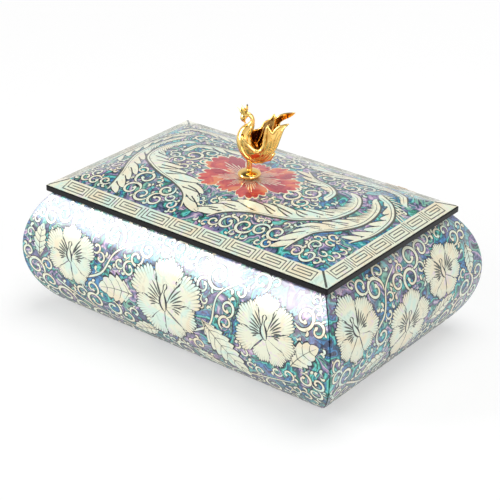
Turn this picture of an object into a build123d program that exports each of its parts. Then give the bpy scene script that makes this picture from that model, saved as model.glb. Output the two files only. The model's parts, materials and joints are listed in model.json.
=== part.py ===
"""Bombé business card box with inlaid walls, a hinged vaulted lid and a cast swan knob.

Millimetres. X runs along the long front edge, Y from the front to the back and Z up.
The origin lies on the surface that the box stands on, under the middle of the box.
"""

from build123d import *
import math
import os

# Lid
lid_length = 130.0
lid_width = 81.0
lid_edge_thickness = 2.35
lid_rise = 7.4
lid_corner_radius = 0.7
lid_edge_radius = 0.45

# Swelling walls: reaches are measured outwards from the lid's edge
rim_height = 48.15
rim_inset = 2.4
rim_thickness = 6.0
belly_reach = 7.4
belly_height = 24.5
heel_height = 4.3
heel_slope = 41.3
foot_slope = 62.4
base_thickness = 4.2
seam_width = 0.5
skin_thickness = 0.3

# Fret border and the field inside it
fret_margin = 0.4
fret_width = 5.9
inlay_joint = 0.06

# Felt and velvet
felt_thickness = 0.8
felt_inset = 3.0
lining_thickness = 1.2
floor_pad_thickness = 2.0
lid_pad_thickness = 1.5
velvet_clearance = 0.3
lid_pad_clearance = 0.9

# Butt hinges with a stop
hinge_spacing = 76.0
leaf_length = 13.0
leaf_thickness = 0.8
leaf_grip = 4.6
barrel_radius = 1.3
barrel_gap = 0.25
knuckle_gap = 0.15
hinge_pin_radius = 0.7
pin_head_radius = 1.05
pin_head_length = 0.5
running_clearance = 0.05
open_angle = 100.0
stop_slack = 0.5
heel_lug_reach = 2.3
heel_lug_thickness = 0.8
stop_lip_thickness = 0.7
leaf_fit = 0.1

# Screws of the hinge leaves
screw_spacing = 7.6
screw_length = 2.8
screw_shank_radius = 0.45
screw_head_radius = 0.95
screw_head_height = 0.5

# Knob
foot_radius = 4.3
foot_half_height = 1.75
foot_centre_height = 1.35
post_radius = 1.05
post_top = 7.2
knob_screw_radius = 0.7
knob_screw_grip = 4.8
knob_screw_head_radius = 2.1
knob_screw_head_height = 1.2
washer_radius = 2.7
washer_thickness = 0.5
counterbore_radius = 3.0
counterbore_depth = 2.6
swan_heading = -154.5
wing_thickness = 0.65
wing_reach = 8.0
crown_seat = (1.7, 24.5)
crown_tilt = 12.0
crown_points = 5
crown_base_radius = 0.75
crown_tip_radius = 1.75
crown_wall = 0.35
crown_height_above = 3.1
crown_notch_floor = 1.6
screw_slot_width = 0.6

# Sizes that follow from the ones above
edge_top = rim_height + lid_edge_thickness
crown_height = edge_top + lid_rise
base_top = felt_thickness + base_thickness
cavity_inset = rim_inset + rim_thickness
cavity_length = lid_length - 2 * cavity_inset
cavity_width = lid_width - 2 * cavity_inset
compartment_length = cavity_length - 2 * lining_thickness
compartment_width = cavity_width - 2 * lining_thickness
vault_radius = ((lid_width / 2) ** 2 + lid_rise**2) / (2 * lid_rise)
upper_rise = rim_height - belly_height
upper_run = belly_reach + rim_inset
upper_radius = (upper_rise**2 + upper_run**2) / (2 * upper_run)
heel_turn = math.radians(heel_slope)
lower_radius = (belly_height - heel_height) / math.sin(heel_turn)
heel_drop = math.sin(math.radians(foot_slope)) - math.sin(heel_turn)
heel_radius = (heel_height - felt_thickness) / heel_drop
field_inset = fret_margin + fret_width
barrel_y = lid_width / 2 + barrel_gap + barrel_radius
leaf_front = lid_width / 2 - rim_inset - leaf_grip
leaf_back = lid_width / 2 - knuckle_gap + barrel_gap
screw_y = leaf_front + leaf_grip / 2
hinge_centres = [-hinge_spacing / 2, hinge_spacing / 2]
counterbore_roof = rim_height + counterbore_depth

sides = {
    "front": (Vector(0, -1, 0), lid_length, lid_width),
    "back": (Vector(0, 1, 0), lid_length, lid_width),
    "left": (Vector(-1, 0, 0), lid_width, lid_length),
    "right": (Vector(1, 0, 0), lid_width, lid_length),
}

os.makedirs("parts", exist_ok=True)


def save(part, label):
    """Labels a finished sub-part and writes its file."""
    part.label = label
    export_step(part, f"parts/{label}.step")


def side_plane(outward, depth):
    """Upright plane across one side: local x points outwards from the lid's edge, y is height."""
    up = Vector(0, 0, 1)
    return Plane(origin=outward * (depth / 2), x_dir=outward, z_dir=outward.cross(up))


def mitre_ends(outward, length, depth, back_off):
    """Cuts both ends of the current board at the box's upright corner planes."""
    along = outward.cross(Vector(0, 0, 1))
    for end in (along, -along):
        corner = outward * (depth / 2) + end * (length / 2)
        inward = (outward - end).normalized()
        corner_plane = Plane(origin=corner + inward * back_off, z_dir=inward)
        split(bisect_by=corner_plane, keep=Keep.TOP)


def heel_start(set_back):
    """Height where the tighter arc of the heel begins on a face set back by a skin."""
    return belly_height - (lower_radius - set_back) * math.sin(heel_turn)


def swell(height, set_back=0.0):
    """Reach beyond the lid's edge of the swelling face at a height."""
    if height > belly_height:
        centre, level, radius = belly_reach - upper_radius, belly_height, upper_radius
    elif height > heel_start(set_back):
        centre, level, radius = belly_reach - lower_radius, belly_height, lower_radius
    else:
        inner = lower_radius - heel_radius
        centre = belly_reach - lower_radius + inner * math.cos(heel_turn)
        level = belly_height - inner * math.sin(heel_turn)
        radius = heel_radius
    return centre + math.sqrt((radius - set_back) ** 2 - (height - level) ** 2)


def swelling_arcs(top, bottom, set_back=0.0):
    """Draws the swelling face from a top height down to a bottom height."""
    changes = [belly_height, heel_start(set_back)]
    heights = [top] + [level for level in changes if bottom < level < top] + [bottom]
    for upper, lower in zip(heights, heights[1:]):
        middle = (upper + lower) / 2
        ThreePointArc(*[(swell(level, set_back), level) for level in (upper, middle, lower)])


def base_section(span):
    """Draws the base board's section across a span: flat above and below, heels at the ends."""
    reach = span / 2
    changes = [heel_start(skin_thickness)]
    levels = [base_top] + [level for level in changes if felt_thickness < level < base_top]
    levels.append(felt_thickness)
    for turn in (-1, 1):
        for upper, lower in zip(levels, levels[1:]):
            trio = (upper, (upper + lower) / 2, lower)
            points = [(turn * (reach + swell(level, skin_thickness)), level) for level in trio]
            ThreePointArc(*points)
    for level in (base_top, felt_thickness):
        half = reach + swell(level, skin_thickness)
        Line((-half, level), (half, level))


def vault(inset):
    """Height of the lid's top above the edge, at a distance in from the edge."""
    across = lid_width / 2 - inset
    return lid_rise - vault_radius + math.sqrt(vault_radius**2 - across**2)


def vault_section(span, lower_by):
    """Draws the lid's section across a span: flat below, a rising arc at each end.

    Between the arcs it stands clear of the ridge, which the crossing section shapes alone.
    """
    half = span / 2
    shoulder = half - lid_width / 2
    eave = edge_top - lower_by
    crown = crown_height - lower_by
    lean = math.degrees(math.asin(lid_width / 2 / vault_radius))
    Polyline((-half, eave), (-half, rim_height), (half, rim_height), (half, eave))
    CenterArc((shoulder, crown - vault_radius), vault_radius, 90 - lean, lean)
    if shoulder > 0:
        above = crown + lid_rise
        Polyline((shoulder, crown), (shoulder, above), (-shoulder, above), (-shoulder, crown))
    CenterArc((-shoulder, crown - vault_radius), vault_radius, 90, lean)


def vaulted_block(lower_by):
    """Solid under the lid's hipped vault, down to the lid's flat underside."""
    with BuildPart() as block:
        with BuildSketch(Plane.YZ):
            with BuildLine():
                vault_section(lid_width, lower_by)
            make_face()
        extrude(amount=lid_length / 2, both=True)
        with BuildSketch(Plane.XZ):
            with BuildLine():
                vault_section(lid_length, lower_by)
            make_face()
        extrude(amount=lid_width / 2, both=True, mode=Mode.INTERSECT)
    return block.part


def leaf_recesses(level, depth):
    """Cuts the seats of both hinge leaves, from a level and downwards for a negative depth."""
    seat_width = lid_width / 2 + belly_reach - leaf_front + leaf_fit
    with BuildSketch(Plane.XY.offset(level)) as seats:
        with Locations(*[(x, leaf_front - leaf_fit + seat_width / 2) for x in hinge_centres]):
            Rectangle(leaf_length + 2 * leaf_fit, seat_width)
    extrude(seats.sketch, amount=depth, mode=Mode.SUBTRACT)


def screw_places(centres):
    """Plan positions of the leaf screws about the given hinge centres."""
    return [(x + turn * screw_spacing / 2, screw_y) for x in centres for turn in (-1, 1)]


def pilot_holes(level, depth):
    """Drills the holes for the leaf screws."""
    with BuildSketch(Plane.XY.offset(level)) as holes:
        with Locations(*screw_places(hinge_centres)):
            Circle(screw_shank_radius + running_clearance)
    extrude(holes.sketch, amount=depth, mode=Mode.SUBTRACT)


# Case walls: solid boards with the swelling outer face
for name, (outward, length, depth) in sides.items():
    with BuildPart() as wall:
        with BuildSketch(side_plane(outward, depth)):
            with BuildLine():
                swelling_arcs(rim_height, base_top, skin_thickness)
                Polyline(
                    (swell(base_top, skin_thickness), base_top),
                    (-cavity_inset, base_top),
                    (-cavity_inset, rim_height),
                    (swell(rim_height, skin_thickness), rim_height),
                )
            make_face()
        extrude(amount=length / 2 + belly_reach, both=True)
        mitre_ends(outward, length, depth, 0)
        if name == "back":
            leaf_recesses(rim_height, -leaf_thickness)
            pilot_holes(rim_height - leaf_thickness, -screw_length)
    save(wall.part, f"{name}_wall")

# Shell skins on the walls, stopping short of each corner so that the seam shows
for name, (outward, length, depth) in sides.items():
    with BuildPart() as pearl_sheet:
        with BuildSketch(side_plane(outward, depth)):
            with BuildLine():
                swelling_arcs(rim_height, felt_thickness)
            with BuildLine():
                swelling_arcs(rim_height, felt_thickness, skin_thickness)
            with BuildLine():
                for level in (rim_height, felt_thickness):
                    Line((swell(level), level), (swell(level, skin_thickness), level))
            make_face()
        extrude(amount=length / 2 + belly_reach, both=True)
        mitre_ends(outward, length, depth, seam_width / 2)
        if name == "back":
            leaf_recesses(rim_height, -leaf_thickness)
    save(pearl_sheet.part, f"{name}_pearl_sheet")

# Base board with the rounded heel on all four sides, from two crossed sections
with BuildPart() as base_board:
    for plane, span, run, mode in (
        (Plane.YZ, lid_width, lid_length, Mode.ADD),
        (Plane.XZ, lid_length, lid_width, Mode.INTERSECT),
    ):
        with BuildSketch(plane):
            with BuildLine():
                base_section(span)
            make_face()
        extrude(amount=run / 2 + belly_reach, both=True, mode=mode)
save(base_board.part, "base_board")

# Felt under the base
with BuildPart() as base_felt:
    with BuildSketch():
        reach = swell(felt_thickness, skin_thickness) - felt_inset
        RectangleRounded(lid_length + 2 * reach, lid_width + 2 * reach, felt_inset)
    extrude(amount=felt_thickness)
save(base_felt.part, "base_felt")

# Velvet covered cards inside the walls
for name, (outward, length, depth) in sides.items():
    long_side = name in ("front", "back")
    card_length = cavity_length if long_side else compartment_width
    cavity_depth = cavity_width if long_side else cavity_length
    with BuildPart() as lining:
        with BuildSketch(side_plane(outward, cavity_depth)):
            with Locations((-lining_thickness / 2, (base_top + rim_height - velvet_clearance) / 2)):
                Rectangle(lining_thickness, rim_height - velvet_clearance - base_top)
        extrude(amount=card_length / 2, both=True)
    save(lining.part, f"{name}_lining")

# Velvet floor of the card compartment
with BuildPart() as floor_pad:
    with BuildSketch(Plane.XY.offset(base_top)):
        Rectangle(compartment_length, compartment_width)
    extrude(amount=floor_pad_thickness)
    fillet(floor_pad.faces().sort_by(Axis.Z)[-1].edges(), radius=floor_pad_thickness / 3)
save(floor_pad.part, "floor_pad")

# Lid board: hipped vault, softened edges, seats for the hinges and the knob's screw
with BuildPart() as lid_board:
    add(vaulted_block(skin_thickness))
    fillet(lid_board.edges().filter_by(Axis.Z), radius=lid_corner_radius)
    fillet(lid_board.faces().sort_by(Axis.Z)[0].edges(), radius=lid_edge_radius)
    leaf_recesses(rim_height, leaf_thickness)
    pilot_holes(rim_height + leaf_thickness, screw_length - leaf_thickness)
    with BuildSketch(Plane.XY.offset(rim_height)):
        Circle(counterbore_radius)
    extrude(amount=counterbore_depth, mode=Mode.SUBTRACT)
    with BuildSketch(Plane.XY.offset(rim_height)):
        Circle(knob_screw_radius + leaf_fit)
    extrude(amount=crown_height, mode=Mode.SUBTRACT)
save(lid_board.part, "lid_board")

# Fret border: four mitred strips of shell on the lid's slopes
for name, (outward, length, depth) in sides.items():
    middle = fret_margin + fret_width / 2
    with BuildPart() as fret_strip:
        with BuildSketch(side_plane(outward, depth)):
            with BuildLine():
                for lower_by in (0, skin_thickness):
                    ThreePointArc(
                        (-fret_margin, edge_top - lower_by + vault(fret_margin)),
                        (-middle, edge_top - lower_by + vault(middle)),
                        (-field_inset, edge_top - lower_by + vault(field_inset)),
                    )
                for inset in (fret_margin, field_inset):
                    top = edge_top + vault(inset)
                    Line((-inset, top), (-inset, top - skin_thickness))
            make_face()
        extrude(amount=length / 2, both=True)
        mitre_ends(outward, length, depth, inlay_joint / 2)
    save(fret_strip.part, f"{name}_fret_strip")

# Field of shell inside the border
with BuildPart() as lid_pearl_field:
    with BuildSketch(Plane.XY.offset(rim_height)):
        Rectangle(
            lid_length - 2 * (field_inset + inlay_joint),
            lid_width - 2 * (field_inset + inlay_joint),
        )
        Circle(knob_screw_radius + leaf_fit, mode=Mode.SUBTRACT)
    extrude(amount=crown_height)
    add(vaulted_block(0), mode=Mode.INTERSECT)
    add(vaulted_block(skin_thickness), mode=Mode.SUBTRACT)
save(lid_pearl_field.part, "lid_pearl_field")

# Velvet pad under the lid
with BuildPart() as lid_pad:
    with BuildSketch(Plane.XY.offset(rim_height)):
        Rectangle(
            compartment_length - 2 * lid_pad_clearance,
            compartment_width - 2 * lid_pad_clearance,
        )
    extrude(amount=-lid_pad_thickness)
    fillet(lid_pad.faces().sort_by(Axis.Z)[0].edges(), radius=lid_pad_thickness / 2)
save(lid_pad.part, "lid_pad")

# Hinges: three knuckles each, the middle one on the lid's leaf
knuckle_length = (leaf_length - 2 * knuckle_gap) / 3
knuckle_pitch = knuckle_length + knuckle_gap
stop_turn = math.radians(-(open_angle + stop_slack))
stop_along = Vector(math.cos(stop_turn), math.sin(stop_turn))
stop_face = Vector(math.sin(stop_turn), -math.cos(stop_turn)) * (heel_lug_thickness / 2)
clear_radius = barrel_radius + leaf_fit * 2
hinge_names = {"left": hinge_centres[0], "right": hinge_centres[1]}


def barrel_plane(x):
    """Plane square to the hinge axis at a station along it, centred on the axis."""
    return Plane(origin=(x, barrel_y, rim_height), x_dir=(0, 1, 0), z_dir=(1, 0, 0))


def leaf_plate(x, toward_lid):
    """Flat plate of one leaf, lying against the parting plane."""
    with BuildSketch(Plane.XY.offset(rim_height)) as plate:
        with Locations((x, (leaf_front + leaf_back) / 2)):
            Rectangle(leaf_length, leaf_back - leaf_front)
    extrude(plate.sketch, amount=leaf_thickness * toward_lid)


def knuckle(x, toward_lid):
    """One knuckle with the tab that joins it to its plate."""
    tab_length = barrel_y - leaf_back + leaf_fit
    with BuildSketch(barrel_plane(x)) as eye:
        Circle(barrel_radius)
        with Locations((-tab_length / 2, toward_lid * leaf_thickness / 2)):
            Rectangle(tab_length, leaf_thickness)
    extrude(eye.sketch, amount=knuckle_length / 2, both=True)


def pin_bore(x):
    """Bore for the pin through all the leaf's knuckles."""
    with BuildSketch(barrel_plane(x)) as bore:
        Circle(hinge_pin_radius + running_clearance)
    extrude(bore.sketch, amount=leaf_length, both=True, mode=Mode.SUBTRACT)


def screw_seats(x, toward_lid):
    """Countersunk holes of a leaf, opening on the parting plane."""
    shank = screw_shank_radius + running_clearance
    head = screw_head_radius + running_clearance
    for place in screw_places([x]):
        with BuildPart(mode=Mode.PRIVATE) as seat:
            with BuildSketch(Plane.XY.offset(rim_height)):
                with Locations(place):
                    Circle(head)
            with BuildSketch(Plane.XY.offset(rim_height + toward_lid * screw_head_height)):
                with Locations(place):
                    Circle(shank)
            loft()
            with BuildSketch(Plane.XY.offset(rim_height)):
                with Locations(place):
                    Circle(shank)
            extrude(amount=toward_lid * leaf_thickness)
        add(seat.part, mode=Mode.SUBTRACT)


for name, x in hinge_names.items():
    with BuildPart() as case_leaf:
        leaf_plate(x, -1)
        for turn in (-1, 1):
            knuckle(x + turn * knuckle_pitch, -1)
        lip_top = stop_along * clear_radius + stop_face
        lip_foot = stop_along * heel_lug_reach + stop_face
        with BuildSketch(barrel_plane(x)):
            with BuildLine():
                Polyline(
                    (leaf_back - barrel_y - stop_lip_thickness, -leaf_thickness / 2),
                    (leaf_back - barrel_y, -leaf_thickness / 2),
                    lip_top,
                    lip_foot,
                    lip_foot - Vector(stop_lip_thickness, 0),
                    close=True,
                )
            make_face()
        extrude(amount=knuckle_length / 2, both=True)
        pin_bore(x)
        screw_seats(x, -1)
    save(case_leaf.part, f"{name}_case_leaf")

    with BuildPart() as lid_leaf:
        leaf_plate(x, 1)
        knuckle(x, 1)
        with BuildSketch(barrel_plane(x)):
            with Locations((heel_lug_reach / 2, 0)):
                Rectangle(heel_lug_reach, heel_lug_thickness)
        extrude(amount=knuckle_length / 2, both=True)
        pin_bore(x)
        screw_seats(x, 1)
    save(lid_leaf.part, f"{name}_lid_leaf")

    with BuildPart() as hinge_pin:
        with BuildSketch(barrel_plane(x)):
            Circle(hinge_pin_radius)
        extrude(amount=leaf_length / 2 + running_clearance, both=True)
        for end in (-1, 1):
            head_start = x + end * (leaf_length / 2 + running_clearance)
            with BuildSketch(barrel_plane(head_start)):
                Circle(pin_head_radius)
            extrude(amount=end * pin_head_length)
    save(hinge_pin.part, f"{name}_hinge_pin")


for label, toward in (("case_leaf_screws", -1), ("lid_leaf_screws", 1)):
    face = rim_height + toward * running_clearance
    neck = face + toward * screw_head_height
    with BuildPart() as leaf_screws:
        for place in screw_places(hinge_centres):
            with BuildSketch(Plane.XY.offset(face)):
                with Locations(place):
                    Circle(screw_head_radius)
            with BuildSketch(Plane.XY.offset(neck)):
                with Locations(place):
                    Circle(screw_shank_radius)
            loft()
            with BuildSketch(Plane.XY.offset(neck)):
                with Locations(place):
                    Circle(screw_shank_radius)
            extrude(amount=toward * (screw_length - screw_head_height - 2 * running_clearance))
    save(leaf_screws.part, label)

# Knob's round foot: a flattened bead bored for the swan's stem
with BuildPart() as knob_foot:
    with BuildSketch(Plane.XZ) as bead:
        with Locations((0, crown_height + foot_centre_height)):
            Ellipse(foot_radius, foot_half_height)
        with Locations((foot_radius, crown_height + foot_radius)):
            Rectangle(2 * foot_radius, 2 * foot_radius, mode=Mode.INTERSECT)
    revolve(axis=Axis.Z)
    with Locations((0, 0, crown_height)):
        Hole(post_radius + running_clearance)
save(knob_foot.part, "knob_foot")

# Swan: stations along the body, neck and head, each an ellipse square to the line.
# Forward and height are measured from the foot's seat, thick lies in the swan's own plane.
heading = math.radians(swan_heading)
forward = Vector(math.cos(heading), math.sin(heading), 0)
swan_side = Plane(origin=(0, 0, crown_height), x_dir=forward, z_dir=forward.cross(Vector(0, 0, 1)))
swan_left = Vector(0, 0, 1).cross(forward)

swan_stations = [
    # forward, height, half thickness, half width
    ((-9.3, 10.4), 0.5, 0.8),
    ((-6.6, 8.6), 1.5, 2.5),
    ((-3.2, 8.0), 1.9, 3.3),
    ((-0.2, 9.3), 2.3, 3.6),
    ((1.5, 12.2), 2.7, 3.4),
    ((2.0, 15.4), 2.7, 2.8),
    ((1.1, 18.2), 2.3, 2.1),
    ((-0.5, 20.2), 1.45, 1.4),
    ((-1.15, 22.2), 0.85, 0.9),
    ((-0.7, 23.9), 0.75, 0.8),
    ((0.4, 24.5), 0.9, 0.95),
    ((1.5, 24.2), 1.2, 1.2),
    ((2.2, 23.1), 1.15, 1.15),
    ((2.0, 22.0), 0.65, 0.7),
    ((1.3, 20.8), 0.2, 0.2),
]

with BuildPart() as swan_body:
    with BuildLine(swan_side):
        spine = Spline(*[station[0] for station in swan_stations])
    for place, thick, wide in swan_stations:
        centre = swan_side.from_local_coords(Vector(*place))
        along = spine.tangent_at(centre)
        with BuildSketch(Plane(origin=centre, x_dir=swan_left, z_dir=along)):
            Ellipse(wide, thick)
    loft()
    with BuildSketch(Plane.XY.offset(crown_height + running_clearance)):
        Circle(post_radius)
    extrude(amount=post_top)
    with BuildSketch(Plane.XY.offset(crown_height)):
        Circle(knob_screw_radius + running_clearance)
    extrude(amount=knob_screw_grip + running_clearance, mode=Mode.SUBTRACT)
save(swan_body.part, "swan_body")

# Wings: the two sides of a hull that is rounded at the breast and open behind, each cut to the
# outline of its feathers. Outlines run forward and up like the stations.
hull_sections = [
    # height, nose, half beam
    (6.3, -0.6, 1.5),
    (8.4, 2.0, 3.5),
    (11.6, 3.8, 4.6),
    (16.0, 4.2, 5.1),
    (21.0, 3.6, 5.4),
    (26.0, 2.8, 5.8),
]
hull_waist = -1.9
hull_stern = -17.0
wing_gap = 0.3
first_tip = (-7.9, 23.4)
second_tip = (-15.7, 24.5)
shoulder = (2.3, 18.0)
heel = (-2.2, 6.8)
keel = (-5.2, 6.8)
stern = (-8.7, 10.9)
near_dip = (-4.3, 12.5)
near_notch = (-9.7, 20.4)
far_dip = (-3.1, 17.4)
far_step = (-4.4, 20.0)
far_notch = (-7.9, 20.7)
far_feather_root = (-9.6, 19.6)


def hull(inset):
    """The hull's solid, drawn in by an inset on its nose and its sides."""
    with BuildPart() as solid:
        for level, nose, half_beam in hull_sections:
            centre = swan_side.from_local_coords(Vector(hull_waist, level, 0))
            reach = nose - hull_waist - inset
            beam = half_beam - inset
            end = hull_stern - hull_waist
            with BuildSketch(Plane(origin=centre, x_dir=forward, z_dir=Vector(0, 0, 1))):
                with BuildLine():
                    EllipticalCenterArc((0, 0), reach, beam, -90, arc_size=180)
                    Polyline((0, beam), (end, beam), (end, -beam), (0, -beam))
                make_face()
        loft()
    return solid.part


hull_shell = hull(0) - hull(wing_thickness)


def wing(side, outline):
    """One wing: the side of the hull inside an outline."""
    with BuildPart() as blade:
        with BuildSketch(swan_side.offset(-side * wing_gap)):
            add(make_face(outline))
        extrude(amount=-side * wing_reach)
        add(hull_shell, mode=Mode.INTERSECT)
        add(swan_body.part, mode=Mode.SUBTRACT)
    return blade.part.solids().sort_by(SortBy.VOLUME)[-1]


leading_edge = [heel, (-0.4, 9.0), (1.3, 11.0), (2.5, 13.9), shoulder]

with BuildLine() as left_outline:
    Spline(shoulder, (-0.2, 15.4), (-2.2, 13.4), near_dip, (-6.2, 14.6), (-6.9, 19.0), first_tip)
    ThreePointArc(first_tip, (-8.6, 21.7), near_notch)
    Spline(near_notch, (-10.9, 22.1), (-12.8, 23.7), second_tip)
    Spline(second_tip, (-14.0, 22.7), (-12.3, 18.2), (-11.1, 14.9), stern, keel)
    Line(keel, heel)
    Spline(*leading_edge)
save(wing(1, left_outline.edges()), "swan_left_wing")

# The far wing rises higher behind the neck and ends in a slender feather.
with BuildLine() as right_outline:
    ThreePointArc(shoulder, (-0.6, 16.5), far_dip)
    ThreePointArc(far_dip, (-3.9, 18.4), far_step)
    Spline(far_step, (-6.2, 20.8), (-7.2, 21.9), first_tip)
    ThreePointArc(first_tip, (-8.1, 22.0), far_notch)
    Spline(far_notch, (-9.4, 22.3), (-11.7, 23.6), second_tip)
    Spline(second_tip, (-13.4, 22.6), (-11.0, 21.3), far_feather_root)
    Spline(far_feather_root, (-10.2, 15.6), stern, keel)
    Line(keel, heel)
    Spline(*leading_edge)
save(wing(-1, right_outline.edges()), "swan_right_wing")

# Coronet: a flared ring on the head, notched into points
crown_root = swan_side.from_local_coords(Vector(*crown_seat))
crown_tilt_turn = math.radians(crown_tilt)
crown_up = Vector(0, 0, 1) * math.cos(crown_tilt_turn) + forward * math.sin(crown_tilt_turn)
with BuildPart() as swan_crown:
    with BuildSketch(Plane(origin=crown_root, x_dir=swan_left, z_dir=swan_left.cross(crown_up))):
        with BuildLine():
            Polyline(
                (crown_base_radius, 0),
                (crown_tip_radius, crown_height_above),
                (crown_tip_radius + crown_wall, crown_height_above),
                (crown_base_radius + crown_wall, 0),
                close=True,
            )
        make_face()
    revolve(axis=Axis(crown_root, crown_up))
    for index in range(crown_points):
        radial = swan_left.rotate(Axis((0, 0, 0), crown_up), 360 * (index + 0.5) / crown_points)
        with BuildSketch(Plane(origin=crown_root, x_dir=crown_up.cross(radial), z_dir=radial)):
            with BuildLine():
                half_gap = math.pi * (crown_tip_radius + crown_wall) / crown_points
                Polyline(
                    (0, crown_notch_floor),
                    (half_gap, crown_height_above + crown_wall),
                    (-half_gap, crown_height_above + crown_wall),
                    close=True,
                )
            make_face()
        extrude(amount=2 * crown_tip_radius, mode=Mode.SUBTRACT)
    add(swan_body.part, mode=Mode.SUBTRACT)
save(swan_crown.part, "swan_crown")

# Screw that draws the knob down onto the lid, with its washer
with BuildPart() as knob_washer:
    with BuildSketch(Plane.XY.offset(counterbore_roof)):
        Circle(washer_radius)
        Circle(knob_screw_radius + running_clearance, mode=Mode.SUBTRACT)
    extrude(amount=-washer_thickness)
save(knob_washer.part, "knob_washer")

head_seat = counterbore_roof - washer_thickness
with BuildPart() as knob_screw:
    with BuildSketch(Plane.XY.offset(head_seat)):
        Circle(knob_screw_head_radius)
    extrude(amount=-knob_screw_head_height)
    fillet(knob_screw.edges().sort_by(Axis.Z)[0], radius=knob_screw_head_height / 3)
    with BuildSketch(Plane.XY.offset(head_seat)):
        Circle(knob_screw_radius)
    extrude(amount=crown_height + knob_screw_grip - head_seat)
    with BuildSketch(Plane.XY.offset(head_seat - knob_screw_head_height)):
        Rectangle(2 * knob_screw_head_radius, screw_slot_width)
    extrude(amount=knob_screw_head_height / 2, mode=Mode.SUBTRACT)
save(knob_screw.part, "knob_screw")
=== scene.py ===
"""Dresses a bombé card box: shell inlay under clear lacquer, velvet lining and a gilt swan knob.

Meshes are drawn in millimetres and become metres when they are finished. Shaders, lamps and the
camera are set up in metres. X runs along the long front edge, Y from the front to the back and Z
up, with the origin under the middle of the box. Inlay is drawn flat: its x runs along the side, its
y up towards the rim (or to the back, on the lid) and its z is the lift off the face. It is then
laid on a swelling wall or on the vaulted lid.
"""

import json
import logging
import math
import random
from collections.abc import Callable, Sequence
from dataclasses import dataclass, field, replace
from enum import Enum
from functools import cached_property

import bmesh
import bpy
from bmesh.types import BMesh, BMVert
from bpy.types import ID, Material, NodeSocket, Object, World
from mathutils import Matrix, Quaternion, Vector
from mathutils.bvhtree import BVHTree

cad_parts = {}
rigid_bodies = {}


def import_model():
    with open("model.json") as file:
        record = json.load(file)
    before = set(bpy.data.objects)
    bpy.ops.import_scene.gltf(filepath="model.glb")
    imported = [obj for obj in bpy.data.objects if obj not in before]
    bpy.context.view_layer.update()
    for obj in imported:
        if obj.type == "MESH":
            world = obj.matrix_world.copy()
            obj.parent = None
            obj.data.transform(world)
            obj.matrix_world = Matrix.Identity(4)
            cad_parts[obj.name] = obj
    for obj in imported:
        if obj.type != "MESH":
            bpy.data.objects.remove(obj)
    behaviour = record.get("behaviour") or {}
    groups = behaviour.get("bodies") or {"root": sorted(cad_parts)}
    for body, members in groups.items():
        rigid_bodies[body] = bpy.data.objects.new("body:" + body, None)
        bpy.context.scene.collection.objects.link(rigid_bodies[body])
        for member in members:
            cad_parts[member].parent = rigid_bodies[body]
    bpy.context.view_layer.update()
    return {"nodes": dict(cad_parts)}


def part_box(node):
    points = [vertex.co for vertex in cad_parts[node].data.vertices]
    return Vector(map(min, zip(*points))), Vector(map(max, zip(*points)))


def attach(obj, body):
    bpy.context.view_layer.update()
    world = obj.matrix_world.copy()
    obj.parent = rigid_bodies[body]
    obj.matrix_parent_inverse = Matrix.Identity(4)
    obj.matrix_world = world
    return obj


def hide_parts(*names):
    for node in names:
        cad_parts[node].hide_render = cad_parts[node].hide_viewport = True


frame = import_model()

MM = 0.001
WELD = 1e-5
UP = Vector((0.0, 0.0, 1.0))
RIGHT = Vector((1.0, 0.0, 0.0))
BACK = Vector((0.0, 1.0, 0.0))
log = logging.getLogger("card_box")
Colour = tuple[float, float, float, float]
Triple = tuple[float, float, float]
Knots = tuple[tuple[float, float], ...]
Ring = tuple[Vector, float]
Path = Sequence[Vector]
Face = Callable[[Vector], Vector]
Width = Callable[[float], float]
Outline = Callable[[float, float], Vector]

# The way the swan faces, seen from above
AHEAD: Triple = (-0.9026, -0.4305, 0.0)

# The walls' clear coat is thin at the foot: its share there and, in metres, where it is whole
COAT_AT_FOOT = 0.3
COAT_WHOLE = 0.026


def node_box(node: str) -> tuple[Vector, Vector]:
    """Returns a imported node's lowest and highest corners in millimetres."""
    low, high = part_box(node)
    return low / MM, high / MM


def shade(red: int, green: int, blue: int) -> Colour:
    """Turns a screen colour into the linear colour that a shader takes.

    Args:
        red, green, blue: The colour as a screen shows it, each from 0 to 255.

    Returns:
        The same colour in linear light, with full alpha.
    """
    def linear(level: int) -> float:
        """Takes one channel out of the screen's curve."""
        part = level / 255
        return part / 12.92 if part <= 0.04045 else ((part + 0.055) / 1.055) ** 2.4

    return linear(red), linear(green), linear(blue), 1.0


def plan(x: float, y: float) -> Vector:
    """Returns a point of a flat drawing."""
    return Vector((x, y, 0.0))


def towards(turn: float) -> Vector:
    """Returns the flat direction at an angle in radians."""
    return plan(math.cos(turn), math.sin(turn))


def leftward(ahead: Vector) -> Vector:
    """Returns a flat direction turned a quarter to the left."""
    return plan(-ahead.y, ahead.x)


def shares(steps: int) -> list[float]:
    """Returns the shares of a length at its steps, from 0 to 1."""
    return [index / steps for index in range(steps + 1)]


def smooth(low: float, high: float, value: float) -> float:
    """Returns 0 below low, 1 above high and a soft step in between."""
    share = min(1.0, max(0.0, (value - low) / (high - low)))
    return share * share * (3 - 2 * share)


def spindle(width: float, power: float) -> Width:
    """Returns the width of a stroke that is pointed at both ends."""
    return lambda part: width * math.sin(math.pi * part) ** power


def smooth_path(knots: Path, count: int) -> list[Vector]:
    """Draws a smooth line through knots.

    Args:
        knots: The points that it passes.
        count: Steps that it is cut into.

    Returns:
        The line's points, one more than its steps.
    """
    ends = [2 * knots[0] - knots[1], *knots, 2 * knots[-1] - knots[-2]]
    spans = len(knots) - 1
    spots = []
    for index in range(count + 1):
        place = min(index / count * spans, spans - 1e-6)
        part = place % 1
        a, b, c, d = ends[int(place) : int(place) + 4]
        curve = (2 * a - 5 * b + 4 * c - d) * part**2 + (3 * b - a - 3 * c + d) * part**3
        spots.append(0.5 * (2 * b + (c - a) * part + curve))
    return spots


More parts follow.
